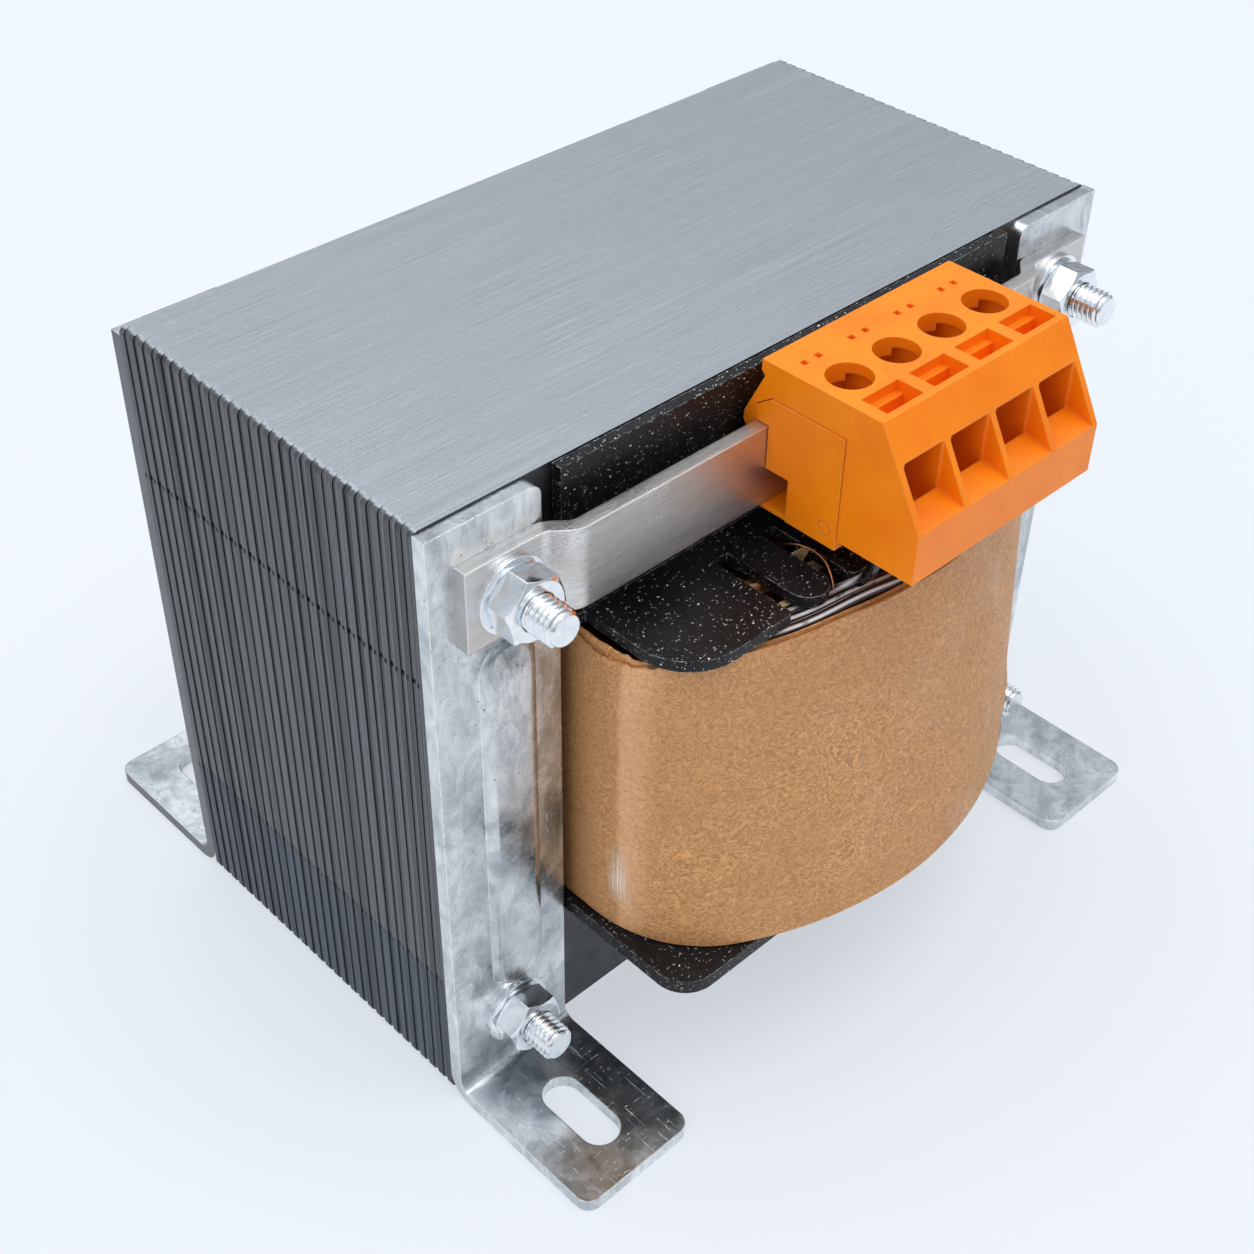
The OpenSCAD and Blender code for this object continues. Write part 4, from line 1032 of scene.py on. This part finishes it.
class TRANSFORMER_OT_fasteners(bpy.types.Operator):
    """Make the threaded bolts and finish the nuts and washers"""

    bl_idname = "transformer.fasteners"
    bl_label = "Bolts and Nuts"

    def execute(self, context):
        s = context.scene.transformer_thread
        zinc = zinc_finish()
        models = {}
        for corner in CORNERS:
            low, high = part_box("bolt_" + corner)
            length = high[1] - low[1]
            key = round(length / MM, 2)
            if key not in models:
                models[key] = model_bolt(s, length)
            clear_selection()
            models[key].select_set(True)
            context.view_layer.objects.active = models[key]
            bpy.ops.object.duplicate()
            bolt = context.object
            centre = middle("bolt_" + corner)
            bolt.location = (centre.x, low[1], centre.z)
            bolt = settle(bolt, "threaded_bolt_" + corner, zinc, 40)
            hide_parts("bolt_" + corner)
        clear_selection()
        for model in models.values():
            model.select_set(True)
        bpy.ops.object.delete()
        dress(zinc, "washers", *("nut_" + corner for corner in CORNERS))
        return {"FINISHED"}


# -------------------------------------------------------------- CAD finishes


class TRANSFORMER_OT_core(bpy.types.Operator):
    """Finish the core's plates"""

    bl_idname = "transformer.core"
    bl_label = "Core Plates"

    def execute(self, context):
        s = context.scene.transformer_plate
        top, side = tuple(s.top_colour), tuple(s.side_colour)
        # painted light: the set-back plates get the higher gain, so their edges are painted lighter to
        # offset their shade
        for name, gain, plates in (
            ("plate_edges", 1.25, PROUD_PLATES),
            ("plate_edges_set_back", 1.7, SET_BACK_PLATES),
        ):
            dress(plate_finish(name, top, side, s.plate_pitch, gain), *plates)
        return {"FINISHED"}


class TRANSFORMER_OT_metalwork(bpy.types.Operator):
    """Finish the brackets and the strap"""

    bl_idname = "transformer.metalwork"
    bl_label = "Brackets and Strap"

    def execute(self, context):
        side = tuple(context.scene.transformer_plate.side_colour)
        dress(galvanised_finish("galvanised_sheet", None), *BRACKETS[:2])
        # back brackets: their sheared edges are painted dark, as raw steel and as painted shade
        dress(galvanised_finish("galvanised_sheet_back", side), *BRACKETS[2:])
        dress(strap_finish(), "terminal_strap")
        return {"FINISHED"}


class TRANSFORMER_OT_plastics(bpy.types.Operator):
    """Finish the bobbin and the terminal block"""

    bl_idname = "transformer.plastics"
    bl_label = "Bobbin and Terminal Block"

    def execute(self, context):
        s = context.scene.transformer_plastic
        dress(bobbin_finish(tuple(s.bobbin_colour)), "bobbin")
        dress(orange_finish(tuple(s.block_colour)), "terminal_housing", "terminal_end_cover")
        tin = plain_metal("tinned_brass", (0.72, 0.66, 0.5), 0.3, 0.1)
        steel = plain_metal("clamp_steel", (0.55, 0.56, 0.57), 0.35, 0.1)
        for pole in POLES:
            dress(tin, f"contact_bar_{pole}")
            dress(steel, f"clamp_cage_{pole}", f"clamp_screw_{pole}")
        return {"FINISHED"}


# ----------------------------------------------------------------------- stage


LAMP_AIM = Vector((0.0, 0.0, 0.05))
# name, place and size in metres, power in watts, colour
LAMPS = (
    ("key_lamp", (0.3, -0.4, 1.5), (1.3, 1.1), 9.3, (1.0, 0.995, 0.98)),
    ("top_lamp", (-0.2, 0.6, 1.3), (1.4, 0.9), 6.0, (0.97, 0.985, 1.0)),
    ("side_lamp", (-0.7, -0.2, 0.35), (0.4, 0.6), 0.8, (0.96, 0.98, 1.0)),
)
CAMERA_PLACE = (-0.153873, -0.157213, 0.216171)
CAMERA_TURN = (0.87345, -0.01376, -0.76338)


def area_lamp(name, place, size, power, colour):
    """Soft rectangular lamp that looks at the middle of the transformer."""
    data = bpy.data.lights.new(name, "AREA")
    data.shape = "RECTANGLE"
    data.size, data.size_y = size
    data.energy = power
    data.color = colour
    lamp = bpy.data.objects.new(name, data)
    bpy.context.collection.objects.link(lamp)
    lamp.location = place
    lamp.rotation_euler = (LAMP_AIM - Vector(place)).to_track_quat("-Z", "Y").to_euler()


def studio_world():
    """Surroundings: bright above and greyer towards the horizon, plain and pale to the camera."""
    world = bpy.data.worlds.new("pale_studio")
    world.use_nodes = True
    bpy.context.scene.world = world
    tree = world.node_tree
    back = tree.nodes["Background"]
    place = tree.nodes.new("ShaderNodeTexCoord")
    split = tree.nodes.new("ShaderNodeSeparateXYZ")
    ramp = tree.nodes.new("ShaderNodeValToRGB")
    tree.links.new(place.outputs["Generated"], split.inputs[0])
    tree.links.new(split.outputs[2], ramp.inputs[0])
    tree.links.new(ramp.outputs[0], back.inputs["Color"])
    stops = ramp.color_ramp.elements
    stops[0].position, stops[0].color = 0.0, (0.2, 0.21, 0.235, 1)
    stops[1].position, stops[1].color = 1.0, (0.97, 0.985, 1.0, 1)
    stops.new(0.2).color = (0.42, 0.445, 0.49, 1)
    stops.new(0.5).color = (0.84, 0.88, 0.94, 1)
    back.inputs["Strength"].default_value = 0.85
    pale = tree.nodes.new("ShaderNodeBackground")
    pale.inputs["Color"].default_value = PALE_SKY
    pick = tree.nodes.new("ShaderNodeMixShader")
    path = tree.nodes.new("ShaderNodeLightPath")
    tree.links.new(path.outputs["Is Camera Ray"], pick.inputs[0])
    tree.links.new(back.outputs[0], pick.inputs[1])
    tree.links.new(pale.outputs[0], pick.inputs[2])
    tree.links.new(pick.outputs[0], tree.nodes["World Output"].inputs[0])


class TRANSFORMER_OT_stage(bpy.types.Operator):
    """Make the floor, the lamps, the surroundings and the camera"""

    bl_idname = "transformer.stage"
    bl_label = "Stage"

    def execute(self, context):
        s = context.scene.transformer_stage
        clear_selection()
        bpy.ops.mesh.primitive_plane_add(size=8, location=(0, 0, 0))
        floor = context.object
        floor.name = "floor"
        floor.data.materials.append(floor_finish(tuple(s.floor_colour)))
        studio_world()
        for lamp in LAMPS:
            area_lamp(*lamp)
        data = bpy.data.cameras.new("camera")
        data.lens = s.lens
        data.sensor_width = 36
        data.clip_start, data.clip_end = 0.01, 20
        camera = bpy.data.objects.new("camera", data)
        context.collection.objects.link(camera)
        camera.location = CAMERA_PLACE
        camera.rotation_euler = CAMERA_TURN
        context.scene.camera = camera
        context.scene.view_settings.view_transform = "Standard"
        return {"FINISHED"}


# ----------------------------------------------------------------------- panel


class TRANSFORMER_PT_panel(bpy.types.Panel):
    """Lists the transformer's pieces in the sidebar"""

    bl_label = "Transformer"
    bl_space_type = "VIEW_3D"
    bl_region_type = "UI"
    bl_category = "Transformer"

    def draw(self, context):
        for made in OPERATORS:
            self.layout.operator(made.bl_idname)


GROUPS = {
    "transformer_stage": StageSettings,
    "transformer_plate": PlateSettings,
    "transformer_wrap": WrapSettings,
    "transformer_lead": LeadSettings,
    "transformer_thread": ThreadSettings,
    "transformer_plastic": PlasticSettings,
}
OPERATORS = (
    TRANSFORMER_OT_stage,
    TRANSFORMER_OT_core,
    TRANSFORMER_OT_metalwork,
    TRANSFORMER_OT_plastics,
    TRANSFORMER_OT_wraps,
    TRANSFORMER_OT_leads,
    TRANSFORMER_OT_trim,
    TRANSFORMER_OT_fasteners,
)


def register():
    for made in (*GROUPS.values(), *OPERATORS, TRANSFORMER_PT_panel):
        bpy.utils.register_class(made)
    for name, group in GROUPS.items():
        setattr(bpy.types.Scene, name, PointerProperty(type=group))


def unregister():
    for name in GROUPS:
        delattr(bpy.types.Scene, name)
    for made in reversed((*GROUPS.values(), *OPERATORS, TRANSFORMER_PT_panel)):
        bpy.utils.unregister_class(made)


def main():
    register()
    bpy.ops.transformer.stage()
    bpy.ops.transformer.core()
    bpy.ops.transformer.metalwork()
    bpy.ops.transformer.plastics()
    bpy.ops.transformer.wraps()
    bpy.ops.transformer.leads()
    bpy.ops.transformer.trim()
    bpy.ops.transformer.fasteners()


if __name__ == "__main__":
    main()
